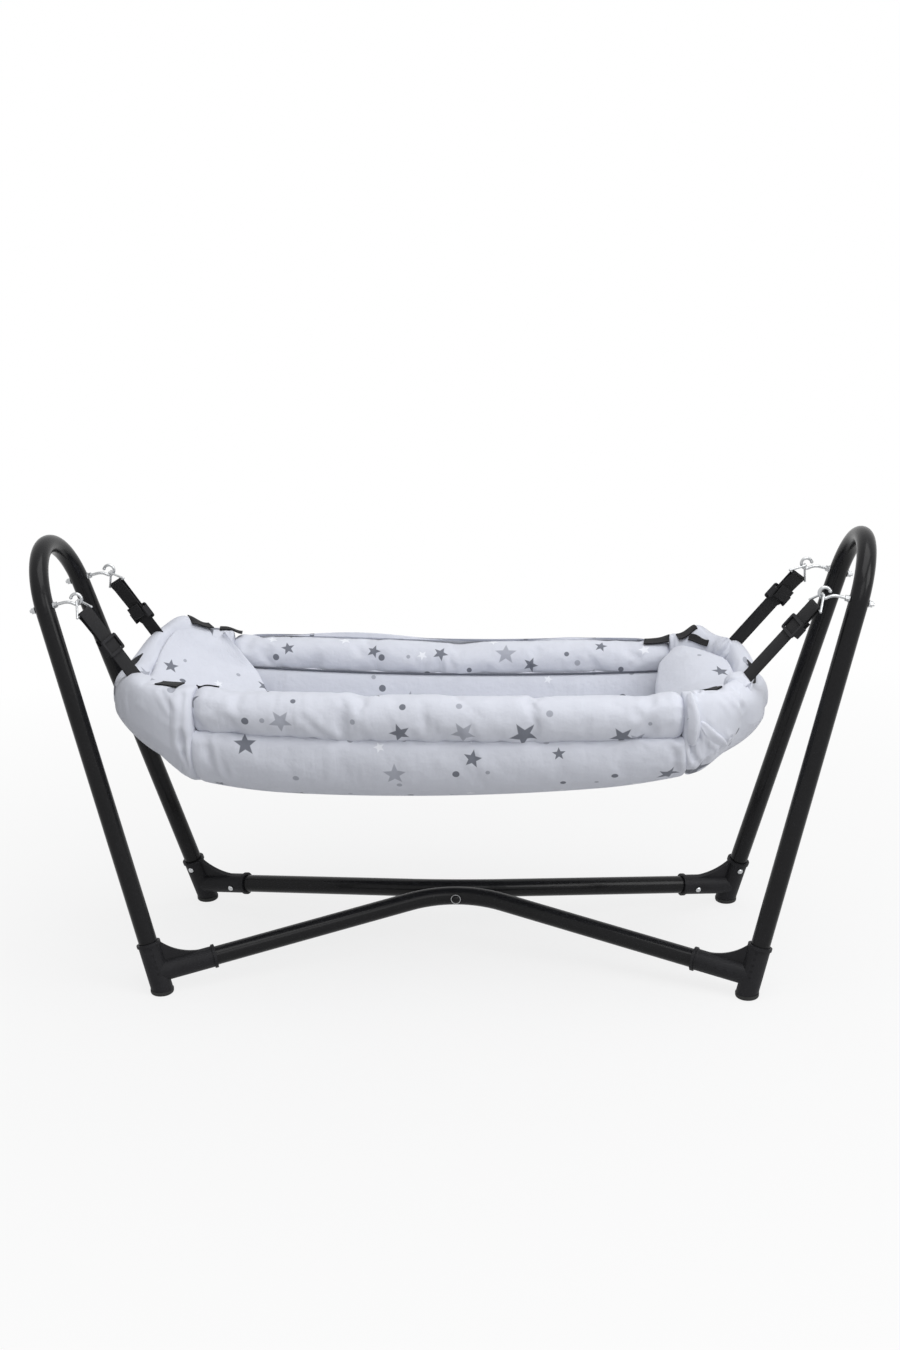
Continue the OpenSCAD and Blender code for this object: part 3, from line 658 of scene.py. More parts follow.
def sew_in(skin, node=None):
    """Makes a padded piece part of the hammock, in place of its solid where it has one."""
    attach(skin, "hammock")
    if node:
        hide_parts(node)


def crease(skin, start, stop, width, depth):
    """Presses a crease into a skin along a line, with a low ridge on each side."""
    line = stop - start
    moves = []
    for vertex in skin.data.vertices:
        offset = vertex.co - start
        part = min(1.0, max(0.0, offset.dot(line) / line.length_squared))
        away = (offset - line * part).length / width
        if away < 3:
            ease = math.sin(math.pi * (0.08 + 0.84 * part)) ** 0.7
            push = hump(away, 0.0, 1.0) - 0.4 * hump(away, 1.8, 1.0)
            moves.append((vertex.index, vertex.normal * (-depth * ease * push)))
    for index, move in moves:
        skin.data.vertices[index].co += move


ROLL_POINTS = 32
ROLL_SINK = 0.0035


def roll_section(sign):
    """A side bolster's height, and the height of its middle."""
    size = cloth_sizes()
    height = size.roll_height - (size.hem if sign > 0 else 0.0)
    return height, size.seam_z - ROLL_SINK + height / 2


def roll_rings(sign):
    """Rings of a side bolster: a crowned roll, gathered and dimpled at its ends."""
    size = cloth_sizes()
    height, middle = roll_section(sign)
    end = size.seam_x - 0.001
    dimple = [(0.004, 0.7), (0.007, 0.35)]
    stations = [(-end + inset, part) for inset, part in reversed(dimple)]
    stations += [(x, 1.0) for x in steps(-end, end, 104)]
    stations += [(end - inset, part) for inset, part in dimple]
    rounding, roundness = 0.018, 0.75
    gathers, gather_depth, gather_reach = 9, 0.03, 0.05
    rings = []
    for x, part in stations:
        drawn_in = near_end(end if part < 1 else x, end, rounding)
        full = math.sqrt(max(0.0, 1 - roundness * drawn_in**2)) * part
        near = near_end(x, end, gather_reach)
        ring = []
        for i in range(ROLL_POINTS):
            angle = math.tau * (i + 0.5) / ROLL_POINTS - math.pi / 2
            swell = full * (1 + gather_depth * near * math.cos(gathers * angle))
            y = size.roll_y + swell * size.roll_width / 2 * math.cos(angle)
            ring.append(in_place(x, sign * y, middle + swell * height / 2 * math.sin(angle)))
        rings.append(ring)
    return rings


LEAST_Y = 0.0002
SHOULDER_STEPS = 7
UNDER_STEPS = 14
# Inside of a side panel in section, from the bed over its roll to the bolster, as y and height above the seam
WALL = [
    (0.0890, -0.045), (0.0935, -0.025), (0.0990, -0.006), (0.1045, 0.008), (0.1095, 0.0155),
    (0.1135, 0.018), (0.1180, 0.016), (0.1260, 0.004), (0.1340, 0.0),
]
# Where the dark cord lies on the crest of the wall: piping, and painted shade under the rear bolster
PIPING_AND_SHADE_POINT = WALL[4]


def under_profile(x):
    """The outside in section at x, from its widest point down to the middle of the underside, as (y, z)."""
    size = cloth_sizes()
    level = size.seam_z - size.shoulder
    drop = level - size.under_z - under_lift(x)
    wide = size.half_width + size.bulge
    found = []
    for angle in steps(0, math.pi / 2, UNDER_STEPS):
        found.append((max(LEAST_Y, wide * math.cos(angle)), level - drop * math.sin(angle)))
    return found


def shoulder_profile(start, height, count, raised=0.0):
    """The outside in section from a point above the widest one, out and down to it, as (y, z)."""
    size = cloth_sizes()
    level = size.seam_z - size.shoulder + raised
    out = size.half_width + size.bulge - start
    found = []
    for angle in steps(math.pi / 2, 0.0, count)[:-1]:
        y = start + out * max(0.0, math.cos(angle)) ** 0.8
        found.append((y, level + (size.shoulder - raised + height) * math.sin(angle) ** 0.8))
    return found


def drawn_at_seam(value, end, reach):
    """The share of its size that a piece keeps where the seam at its end draws it in."""
    drawn = 0.008
    return 1 - drawn * near_end(value, end, reach) ** 2


def tucked_in(ring):
    """A ring just inside another one, which keeps the edge of a flat end crisp."""
    return [point.lerp(ring[-1 - i], 0.12) for i, point in enumerate(ring)]


def panel_rings(sign):
    """Rings of a side panel: a full outside with a shoulder under the bolster, and a padded wall inside."""
    size = cloth_sizes()
    half = size.half_width - size.padding
    depth = size.seam_z - size.under_z - size.padding
    ledge, ledge_height = size.roll_y + 0.016, 0.006
    wall_angle = 0.85
    rings = []
    for x in steps(-size.seam_x, size.seam_x, 110):
        full = drawn_at_seam(x, size.seam_x, 0.014)
        outer = shoulder_profile(ledge, ledge_height, SHOULDER_STEPS) + under_profile(x)
        points = [(y * full, z) for y, z in outer]
        for angle in steps(math.pi / 2, wall_angle, 10):
            inside = size.seam_z - (depth - under_lift(x)) * math.sin(angle)
            points.append((max(LEAST_Y, half * math.cos(angle)), inside))
        points += [(y, size.seam_z + above) for y, above in WALL]
        rings.append([in_place(x, sign * y, z) for y, z in points])
    return [tucked_in(rings[0]), *rings, tucked_in(rings[-1])]


class HAMMOCK_OT_bolsters(bpy.types.Operator):
    """Makes the two side bolsters as stuffed rolls of printed cloth, with a dark slate cord on the seam below
    each, partly piping and partly painted shade in that seam
    """

    bl_idname = "hammock.bolsters"
    bl_label = "Side bolsters"

    def execute(self, context):
        for row, sign in ROWS.items():
            rings = roll_rings(sign)
            skin = make_skin(f"bolster_{row}", rings, "cloth")
            held = held_points(rings, 3, 1, ROLL_POINTS - 1)
            plump(skin, held, pressure=3.0, slack=0.03, cap=0.005 if sign < 0 else 0.003)
            smoothed(skin)
            if sign < 0:
                self.wrinkle(skin)
            sew_in(skin, f"side_bolster_{row}")
            # A dark cord at the seam: piping, and painted shade under the bolster
            cord = make_skin(f"piping_{row}", self.cord_rings(sign), "piping")
            smoothed(cord)
            sew_in(cord)
        hem = make_skin("hem_rear", self.hem_rings(), "hem")
        smoothed(hem)
        sew_in(hem)
        return {"FINISHED"}

    def wrinkle(self, skin):
        """Presses slanting creases into the face of the front bolster, above its seam."""
        size = cloth_sizes()
        low = size.seam_z + 0.004
        front = -size.roll_y - size.roll_width / 2
        face = -size.roll_y - size.roll_width * 0.36
        for x, reach, lean in ((-0.150, 0.022, 0.034), (-0.300, 0.012, 0.016), (0.045, 0.02, 0.006)):
            top = in_place(x - lean / 2, front, low + 0.008 + reach)
            crease(skin, top, in_place(x + lean / 2, face, low), 0.005, 0.003)

    def cord_rings(self, sign):
        """Rings of the piping, a cord on the inside of a side panel, whose dark colour is partly the piping's
        own and partly painted shade under the bolster.
        """
        size = cloth_sizes()
        radius, points = 0.0016, 8
        y, above = PIPING_AND_SHADE_POINT
        end = size.seam_x - 0.012
        rings = []
        for x in steps(-end, end, 60):
            ring = []
            for i in range(points):
                angle = math.tau * i / points
                across = y - 0.0012 + radius * math.cos(angle)
                ring.append(in_place(x, sign * across, size.seam_z + above + radius * math.sin(angle)))
            rings.append(ring)
        return rings

    def hem_rings(self):
        """Rings of the hem of the outer cloth, which wraps the rear bolster and stands up behind it."""
        size = cloth_sizes()
        height, middle = roll_section(1)
        thickness, lean = 0.0024, 0.003
        centre, half = -0.005, 0.2815
        rings = []
        for x in steps(-0.286, 0.276, 100):
            full = max(0.0, 1 - (abs(x - centre) / half) ** 6)
            taper = math.sqrt(full)
            crest = 1.9 * hump(x, -0.13, 0.11) + 1.1 * hump(x, 0.17, 0.06)
            top = middle + height / 2 + 0.002 * full + size.hem * (full * crest - 0.9)
            sides = []
            for lift in (0.0, thickness):
                lift += 0.0036 * taper - 0.0026 * (1 - taper)
                wide, tall = size.roll_width / 2 + lift, height / 2 + lift
                line = []
                for angle in steps(0.6 - 1.1 * taper, 1.12, 9):
                    line.append((size.roll_y + wide * math.cos(angle), middle + tall * math.sin(angle)))
                y, z = line[-1]
                line += [(y + lean * part, z + (top - z) * part) for part in steps(0, 1, 4)[1:]]
                sides.append(line)
            rings.append([in_place(x, y, z) for y, z in sides[0] + sides[1][::-1]])
        return rings


class HAMMOCK_OT_panels(bpy.types.Operator):
    """Makes the two padded side panels below the bolsters"""

    bl_idname = "hammock.panels"
    bl_label = "Side panels"

    def execute(self, context):
        for row, sign in ROWS.items():
            rings = panel_rings(sign)
            skin = make_skin(f"panel_{row}", rings, "cloth")
            held = held_points(rings, 2, 1, SHOULDER_STEPS + UNDER_STEPS)
            plump(skin, held, pressure=2.0, slack=0.03, cap=0.004)
            smoothed(skin)
            if sign < 0:
                self.wrinkle(skin)
            sew_in(skin, f"side_panel_{row}")
        return {"FINISHED"}

    def wrinkle(self, skin):
        """Presses short upright wrinkles into the front panel, near its ends and at its middle."""
        size = cloth_sizes()
        wide = size.half_width + size.bulge
        for x, high, low, depth in (
            (-0.290, -0.012, -0.040, 0.003),
            (-0.272, -0.034, -0.066, 0.0025),
            (0.046, -0.006, -0.030, 0.002),
            (0.298, -0.010, -0.045, 0.003),
        ):
            top = in_place(x, -wide, size.seam_z + high)
            foot = in_place(x + 0.004, -wide * 0.93, size.seam_z + low)
            crease(skin, top, foot, 0.0045, depth)


def bed_rings():
    """Rings of the bed pad: its underside follows the trough and its top is crowned."""
    size = cloth_sizes()
    half = size.half_width - size.padding
    reach = 0.72 * half
    end = size.seam_x - 0.005
    gap, least_height = 0.0006, 0.0034
    end_inset, crown = 0.25, 0.19
    rings = []
    for x in steps(-end, end, 70):
        inset = 1 - end_inset * (abs(x) / end) ** 8
        lift = under_lift(x)
        depth = size.seam_z - size.under_z - size.padding - lift
        under, top = [], []
        for spot in steps(-reach, reach, 22):
            y = spot * inset
            low = size.seam_z - depth * math.sqrt(1 - (y / half) ** 2) + gap
            high = size.under_z + size.padding + size.bed * (1 - crown * (y / reach) ** 2) + lift
            under.append(in_place(x, y, low))
            top.append(in_place(x, y, max(low + least_height, high)))
        rings.append(under + top[::-1])
    return rings


class HAMMOCK_OT_bed(bpy.types.Operator):
    """Makes the crowned bed pad"""

    bl_idname = "hammock.bed"
    bl_label = "Bed pad"

    def execute(self, context):
        skin = make_skin("bed", bed_rings(), "cloth")
        smoothed(skin)
        sew_in(skin, "bed_pad")
        return {"FINISHED"}


# Shares of a gathered end's plan radius: the hub under its middle, its padded wall and the crown of its rim
HUB = 0.04
END_PAD = 0.32
CROWN = 1 - END_PAD / 2
INSIDE_STEPS = 16


def end_length(sign):
    return cloth_sizes().left_end if sign < 0 else cloth_sizes().right_end


def end_point(sign, turn, reach, z):
    """A point of a gathered end: turn goes round it in plan, and reach is its share of the plan radius."""
    size = cloth_sizes()
    x = sign * (size.seam_x + reach * end_length(sign) * math.cos(turn))
    return in_place(x, sign * reach * size.half_width * math.sin(turn), z)


def pleat(sign, turn, part):
    """Gathers of an end: soft folds that fade out towards the underside and the seams."""
    count, depth = (11, 0.035) if sign > 0 else (7, 0.018)
    wave = 0.5 - 0.5 * math.cos(count * turn + 0.6 * math.sin(3 * turn))
    return 1 - depth * part * wave**2 * math.cos(turn) ** 0.5


def rim_height(sign, turn):
    """Height of the rim above the seam: low at the tip, drawn up to the bolsters, with a rear peak."""
    size = cloth_sizes()
    rearward = sign * math.degrees(turn)
    peak, place, spread = (size.left_peak, 55, 15) if sign < 0 else (size.right_peak, 68, 9)
    rear_start, rear_run = 5, 32
    front_start, front_run = 14, 34
    rear = size.rear_lift * eased((rearward - rear_start) / rear_run)
    rear += peak * hump(rearward, place, spread)
    return size.rim + rear + size.front_lift * eased((-rearward - front_start) / front_run)


def toward_tip(turn):
    """1 round the tip of an end, and fading to 0 at its seams."""
    return eased(math.cos(turn) / 0.6)


def slimmed(reach, turn):
    """How much shallower than a round bowl an end is at a share of its radius, as it rises to its tip."""
    round_depth = math.sqrt(max(0.0, 1 - reach**2))
    if round_depth < 0.001:
        return 1.0
    boat_depth = (1 - reach**1.5) ** 0.75
    return 1 + toward_tip(turn) * (boat_depth / round_depth - 1)


def end_outside(sign, turn):
    """The outside of a gathered end in section, from the hub up to its crown.

    Each point has its reach, its height and how much of the pleats it takes.
    """
    size = cloth_sizes()
    profile = under_profile(sign * size.seam_x)[::-1]
    level = size.seam_z - size.shoulder
    depth = level - profile[0][1]
    wide = size.half_width + size.bulge
    raised = size.tip_lift * toward_tip(turn)
    points = []
    for y, z in profile:
        part = (level - z) / depth * slimmed(min(1.0, y / wide), turn)
        points.append((y, level + raised - (depth + raised) * part))
    points += shoulder_profile(CROWN * size.half_width, rim_height(sign, turn), 6, raised)[::-1]
    found = []
    for y, z in points:
        reach = y / size.half_width
        part = min(1.0, reach) ** 3
        found.append((HUB + (1 - HUB) * reach if reach < 1 else reach, z, part))
    return found


def end_rings(sign):
    """Rings of a gathered end: a pleated outside, a rolled rim and a smooth inside."""
    size = cloth_sizes()
    low = size.under_z + under_lift(sign * size.seam_x) + 1.24 * size.padding
    turns = steps(-math.pi / 2, math.pi / 2, 84)
    tuck, tuck_share = Vector((sign * 0.007, 0, 0)), 0.955
    rings = []
    for place, turn in enumerate([turns[0], *turns, turns[-1]]):
        tucked = place in (0, len(turns) + 1)
        rim = rim_height(sign, turn)
        draw = (tuck_share if tucked else 1.0) * drawn_at_seam(turn, math.pi / 2, 0.14)
        ring = []
        for angle in steps(0.0, math.pi / 2, INSIDE_STEPS):
            reach = HUB + (1 - END_PAD - HUB) * math.sin(angle)
            ring.append(end_point(sign, turn, reach, size.seam_z - (size.seam_z - low) * math.cos(angle)))
        for angle in steps(0.0, math.pi / 2, 5)[1:-1]:
            reach = CROWN - END_PAD / 2 * math.cos(angle)
            ring.append(end_point(sign, turn, reach, size.seam_z + rim * math.sin(angle)))
        for reach, z, part in reversed(end_outside(sign, turn)):
            ring.append(end_point(sign, turn, reach * draw * pleat(sign, turn, part), z))
        rings.append([p - tuck for p in ring] if tucked else ring)
    return rings


# Inner edge of each end panel from front to rear: from the middle outwards, across, and above the seam
LINING_EDGE = {
    "left": [
        (0.331, -0.130, 0.050), (0.275, -0.115, 0.012), (0.242, -0.080, -0.010), (0.235, -0.020, -0.018),
        (0.246, 0.050, -0.004), (0.267, 0.094, 0.014), (0.293, 0.104, 0.040), (0.318, 0.114, 0.066),
    ],
    "right": [
        (0.322, -0.120, 0.046), (0.300, -0.090, 0.014), (0.288, -0.050, -0.006), (0.283, 0.0, -0.006),
        (0.283, 0.050, 0.014), (0.290, 0.086, 0.034), (0.314, 0.112, 0.050),
    ],
}


def along_points(points, part):
    """A point at a share of the way along a list of points."""
    spot = part * (len(points) - 1)
    index = min(int(spot), len(points) - 2)
    return Vector(points[index]).lerp(Vector(points[index + 1]), spot - index)


def lining_rings(side, sign):
    """Rings of an inner end panel: a smooth pad that slopes from the rim of an end down to the bed."""
    size = cloth_sizes()
    sweep = math.radians(78)
    right_height = 0.043
    height_share, rear_gain = 0.76, 0.20
    inset, rear_shift = 0.10, 0.07
    left_hollow, right_crown = 0.008, 0.018
    thinnest, fullness = 0.004, 0.02
    rings = []
    for part in steps(0.0, 1.0, 36):
        edge = along_points(LINING_EDGE[side], part)
        foot = in_place(sign * edge.x, edge.y, size.seam_z + edge.z)
        turn = sign * (2 * part - 1) * sweep
        near_rear = eased((part - 0.5) / 0.3) if sign < 0 else 0.0
        height = rim_height(sign, turn) * (height_share + rear_gain * near_rear)
        if sign > 0:
            height = min(height, right_height)
        head = end_point(sign, turn, CROWN - inset + rear_shift * near_rear, size.seam_z + height)
        crown = -left_hollow if sign < 0 else right_crown * math.sqrt(math.sin(math.pi * part))
        top, under = [], []
        for step in steps(0.0, 1.0, 12):
            dip = Vector((0, 0, -crown * math.sin(math.pi * step)))
            thick = thinnest + fullness * math.sin(math.pi * min(1.0, 0.15 + step * 0.8))
            top.append(head.lerp(foot, step) - dip)
            under.append(head.lerp(foot, step) - dip - Vector((0, 0, thick)))
        rings.append(top + under[::-1])
    return rings


def end_surface(sign, turn, above):
    """A point on the outside of a gathered end, at a turn in degrees and a height above the seam."""
    turn = math.radians(turn)
    level = cloth_sizes().seam_z + above
    reach = min(end_outside(sign, turn), key=lambda point: abs(point[1] - level))[0]
    return end_point(sign, turn, reach, level)


# Creases from one (turn, height above the seam) to another, with a width and a depth
END_CREASES = {
    "left": [
        ((59, 0.030), (86, 0.008), 0.0028, 0.0045),
        ((86, 0.048), (86, -0.008), 0.0050, 0.0075),
        ((87, -0.016), (82, -0.056), 0.0030, 0.0035),
        ((72, 0.050), (82, 0.030), 0.0040, 0.0030),
        ((38, 0.026), (41, -0.006), 0.0035, 0.0030),
        ((46, 0.034), (49, 0.010), 0.0030, 0.0030),
    ],
    "right": [
        ((-81, 0.058), (-82, 0.008), 0.0030, 0.0095),
        ((-83, 0.018), (-70, -0.012), 0.0024, 0.0090),
        ((-76, 0.026), (-60, -0.002), 0.0020, 0.0060),
        ((-89, 0.006), (-86, -0.020), 0.0035, 0.0060),
        ((-67, 0.050), (-60, 0.034), 0.0040, 0.0030),
        ((-57, 0.046), (-50, 0.028), 0.0040, 0.0035),
        ((-85, -0.020), (-72, -0.052), 0.0040, 0.0035),
    ],
}
# Folds along such points, with half a width, a height and a lean
SEAM_FOLD = [(-88, 0.058), (-87, 0.046), (-86, 0.034), (-86, 0.020), (-87, 0.006), (-88, -0.004)]
PLEAT_FOLD = [(-83, 0.026), (-77, 0.013), (-70, 0.000), (-63, -0.013)]
END_FOLDS = {
    "left": [],
    "right": [(SEAM_FOLD, 0.0082, 0.0055, 0.6), (PLEAT_FOLD, 0.0068, 0.0036, 1.0)],
}


def fold_rings(skin, sign, line, half, height, lean):
    """Rings of a fold of cloth along a line on the outside of an end, steeper on one side by its lean."""
    count, points, rounds = 24, 16, 4
    spots = []
    for part in steps(0.0, 1.0, count):
        turn, above, _ = along_points([(*spot, 0.0) for spot in line], part)
        _, point, normal, _ = skin.closest_point_on_mesh(end_surface(sign, turn, above))
        spots.append((point, normal))
    for _ in range(rounds):
        near = [spots[0], *spots, spots[-1]]
        spots = [
            ((a[0] + b[0] * 2 + c[0]) / 4, (a[1] + b[1] * 2 + c[1]).normalized())
            for a, b, c in zip(near, near[1:], near[2:])
        ]
    rings = []
    for i, (point, normal) in enumerate(spots):
        run = (spots[min(count, i + 1)][0] - spots[max(0, i - 1)][0]).normalized()
        side = run.cross(normal).normalized()
        full = max(0.12, math.sin(math.pi * (0.04 + 0.92 * i / count))) ** 0.5
        ring = []
        for j in range(points):
            angle = math.tau * j / points
            slant = lean * math.cos(angle) * max(0.0, math.sin(angle))
            lift = height * full * (math.sin(angle) + 0.35 - slant)
            ring.append(point + side * (half * full * math.cos(angle)) + normal * lift)
        rings.append(ring)
    return rings


class HAMMOCK_OT_ends(bpy.types.Operator):
    """Makes the two gathered ends and the smooth panels inside them"""

    bl_idname = "hammock.ends"
    bl_label = "Gathered ends"

    def execute(self, context):
        for side, sign in SIDES.items():
            rings = end_rings(sign)
            skin = make_skin(f"end_{side}", rings, "cloth")
            held = held_points(rings, 2, INSIDE_STEPS + 1, len(rings[0]) - 2)
            plump(skin, held, pressure=2.0, slack=0.05, cap=0.006)
            smoothed(skin, 2)
            for start, stop, width, depth in END_CREASES[side]:
                crease(skin, end_surface(sign, *start), end_surface(sign, *stop), width, depth)
            lining = make_skin(f"end_lining_{side}", lining_rings(side, sign), "cloth")
            smoothed(lining)
            context.view_layer.update()
            folds = []
            for number, fold_line in enumerate(END_FOLDS[side]):
                fold = make_skin(f"end_fold_{side}_{number}", fold_rings(skin, sign, *fold_line), "cloth")
                smoothed(fold)
                folds.append(fold)
            sew_in(skin, f"end_bolster_{side}")
            sew_in(lining, f"end_panel_{side}")
            for fold in folds:
                sew_in(fold)
        return {"FINISHED"}


# Sections of a pouch: its place past the strap's end, half sizes across and out, and depth of its gathers
POUCH = [
    (0.003, 0.0162, 0.0055, 0.14), (0.006, 0.0172, 0.0088, 0.16), (0.010, 0.0185, 0.0140, 0.16),
    (0.013, 0.0196, 0.0172, 0.15), (0.018, 0.0204, 0.0190, 0.13), (0.023, 0.0204, 0.0190, 0.10),
    (0.029, 0.0180, 0.0170, 0.06), (0.034, 0.0130, 0.0125, 0.0), (0.0375, 0.0062, 0.0060, 0.0),
]


def pouch_rings(side, row):
    """Rings of a corner pouch: gathered cloth that closes round the end of a strap."""
    place, run = strap_frame(side, row)
    points = 72
    rings = []
    for past, across, out, fold in POUCH:
        ring = []
        for i in range(points):
            angle = math.tau * i / points
            gather = 1 + fold * (0.55 * math.cos(11 * angle + row) + 0.45 * math.cos(7 * angle - side))
            spot = Vector((run + past, across * gather * math.cos(angle), out * gather * math.sin(angle)))
            ring.append(place @ spot)
        rings.append(ring)
    return rings


class HAMMOCK_OT_pouches(bpy.types.Operator):
    """Makes the four gathered pouches that hold the strap ends"""

    bl_idname = "hammock.pouches"
    bl_label = "Corner pouches"

    def execute(self, context):
        for name, side, row in CORNERS:
            pouch = make_skin(f"pouch_{name}", pouch_rings(side, row), "cloth")
            smoothed(pouch)
            sew_in(pouch, f"corner_anchor_{name}")
        return {"FINISHED"}


def strap_frame(side, row):
    """A strap's own frame, with its origin at the hook's eye, and its length.

    Its axes run along the strap, across it and out of its face.
    """
    size = webbing_sizes()
    eye = Vector((side * size.eye_x, row * size.eye_y, size.eye_z))
    foot = Vector((cloth_sizes().shift + side * size.end_x, row * size.eye_y, size.end_z))
    along = (foot - eye).normalized()
    turn = size.front_turn if row < 0 else size.rear_turn
    flat = Vector((-along.z, 0, along.x)) * side
    face = flat * math.cos(turn) - Vector((0, row, 0)) * math.sin(turn)
    across = face.cross(along)
    place = Matrix((along, across, face)).transposed().to_4x4()
    place.translation = eye
    return place, (foot - eye).length


def web_piece(name, work, modifier_kind, **settings):
    """A piece of webbing from a bmesh, finished by one modifier."""
    piece = new_piece(name, mesh_of(work, name), "webbing")
    modifier = piece.modifiers.new(modifier_kind.capitalize(), modifier_kind)
    for setting, value in settings.items():
        setattr(modifier, setting, value)
    apply_modifier(piece, modifier)
    bpy.ops.object.shade_smooth_by_angle(angle=math.radians(40))
    return piece


def web_strip(name, heads):
    """A strip of webbing through heads.

    Each head is a middle point, a direction across the strip and one out of its face.
    """
    size = webbing_sizes()
    half, thick = size.width / 2, size.thickness / 2
    section = [(-half, -thick), (half, -thick), (half, thick), (-half, thick)]
    around = [0.0, size.width, size.width + size.thickness, 2 * size.width + size.thickness]
    around.append(2 * size.width + 2 * size.thickness)
    work = bmesh.new()
    layer = work.loops.layers.uv.new("skin")
    rings, run = [], []
    for i, (point, across, out) in enumerate(heads):
        rings.append([work.verts.new(point + across * w + out * h) for w, h in section])
        run.append(run[-1] + (point - heads[i - 1][0]).length if i else 0.0)
    for i in range(len(rings) - 1):
        for j in range(4):
            k = (j + 1) % 4
            face = work.faces.new([rings[i][j], rings[i][k], rings[i + 1][k], rings[i + 1][j]])
            spots = [(i, j), (i, j + 1), (i + 1, j + 1), (i + 1, j)]
            for loop, (r, c) in zip(face.loops, spots):
                loop[layer].uv = (run[r], around[c])
    for ring in (rings[0], rings[-1]):
        work.faces.new(ring)
    bmesh.ops.recalc_face_normals(work, faces=work.faces)
    return web_piece(
        name, work, "BEVEL",
        width=size.thickness * 0.3, segments=2, limit_method="ANGLE", angle_limit=math.radians(50),
    )


def strap_heads(place, line):
    """Heads of a strip that follows a line of (along, out) points in a strap's own frame."""
    points = [Vector((t, 0, n)) for t, n in line]
    turn = place.to_3x3()
    heads = []
    for i, point in enumerate(points):
        run = (points[min(len(points) - 1, i + 1)] - points[max(0, i - 1)]).normalized()
        heads.append((place @ point, turn @ Vector((0, 1, 0)), turn @ Vector((-run.z, 0, run.x))))
    return heads


def arc_line(at, out, radius, start, stop):
    """Points of an arc in the plane of a strap's length and face."""
    return [(at + radius * math.cos(a), out + radius * math.sin(a)) for a in steps(start, stop, 10)]


# Clearance of the webbing, and radii of a ring's wire and a slider's bar
WEB_GAP = 0.0003
RING_BAR_R = 0.0015
SLIDER_BAR_R = 0.0018


class HAMMOCK_OT_straps(bpy.types.Operator):
    """Makes the standing straps, their returns and the folds round the sliders"""

    bl_idname = "hammock.straps"
    bl_label = "Straps"

    def execute(self, context):
        size = webbing_sizes()
        thick = size.thickness
        loop = RING_BAR_R + WEB_GAP + thick / 2
        fold_out = thick / 2 + WEB_GAP + thick + SLIDER_BAR_R
        radius = SLIDER_BAR_R + thick / 2
        low = thick + WEB_GAP
        for name, side, row in CORNERS:
            place, run = strap_frame(side, row)
            slider = size.slider_left if side < 0 else size.slider_right
            body = name.split("_")[0] + "_straps"
            line = arc_line(size.ring, loop, loop, math.pi / 2, 3 * math.pi / 2)
            line += [(t, 0.0) for t in steps(size.ring + 0.004, run + 0.009, 14)]
            strap = web_strip(f"webbing_{name}", strap_heads(place, line))
            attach(strap, body)
            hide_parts(f"strap_{name}")
            first, last = size.ring + WEB_GAP, slider - WEB_GAP
            line = [(first, 2 * loop), (first + 0.008, 2 * loop - 0.0012)]
            line += [(last - 0.012, low + 0.0008), (last, low)]
            back = web_strip(f"webbing_return_{name}", strap_heads(place, line))
            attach(back, body)
            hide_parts(f"strap_return_{name}")
            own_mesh(back)
            line = arc_line(slider, fold_out, radius, -math.pi / 2, math.pi / 2)
            line += [(slider - 0.006, fold_out + radius), (slider - 0.016, fold_out + radius)]
            fold = web_strip(f"webbing_fold_{name}", strap_heads(place, line))
            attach(fold, f"slide_{name}")
            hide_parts(f"strap_fold_{name}")
        return {"FINISHED"}


def rim_heads(sign):
    """Heads of the rim webbing, a band on edge that runs round an end from one pouch to the other."""
    cloth, web = cloth_sizes(), webbing_sizes()
    reach = cloth.seam_x + 0.92 * end_length(sign)
    bow = reach - web.end_x
    radius = (web.eye_y**2 + bow**2) / (2 * bow)
    sweep = math.asin(web.eye_y / radius) - 0.02 / radius
    crest = cloth.seam_z + cloth.rim + hammock_rise(sign * (cloth.seam_x + CROWN * end_length(sign)))
    centre = Vector((cloth.shift + sign * (reach - radius), 0, crest - 0.2 * web.width))
    heads = []
    for angle in steps(-sweep, sweep, 30):
        out = Vector((sign * math.cos(angle), math.sin(angle), 0))
        heads.append((centre + out * (radius + web.thickness / 2), Vector((0, 0, 1)), out))
    return heads


# Short lengths of webbing on the rim, from one place in plan to another, with a width
PATCHES = {
    "rear_left_a": ((-0.374, 0.111), (-0.348, 0.127), 0.022),
    "rear_left_b": ((-0.337, 0.133), (-0.306, 0.137), 0.014),
    "rear_right_a": ((0.262, 0.131), (0.297, 0.127), 0.020),
    "rear_right_b": ((0.308, 0.119), (0.333, 0.125), 0.018),
    "rear_right_c": ((0.323, 0.112), (0.348, 0.097), 0.007),
    "front_left_a": ((-0.367, -0.1215), (-0.337, -0.131), 0.022),
    "front_left_b": ((-0.318, -0.119), (-0.291, -0.121), 0.012),
    "front_right": ((0.324, -0.1185), (0.346, -0.1085), 0.015),
}


def height_on(skins, x, y):
    """The highest point of some skins at a place in plan."""
    found = []
    for skin in skins:
        hit, spot, _, _ = skin.ray_cast(Vector((x, y, 1.0)), Vector((0, 0, -1)))
        if hit:
            found.append(spot.z)
    if not found:
        raise RuntimeError(f"nothing carries the webbing at {x:.3f}, {y:.3f}")
    return max(found)


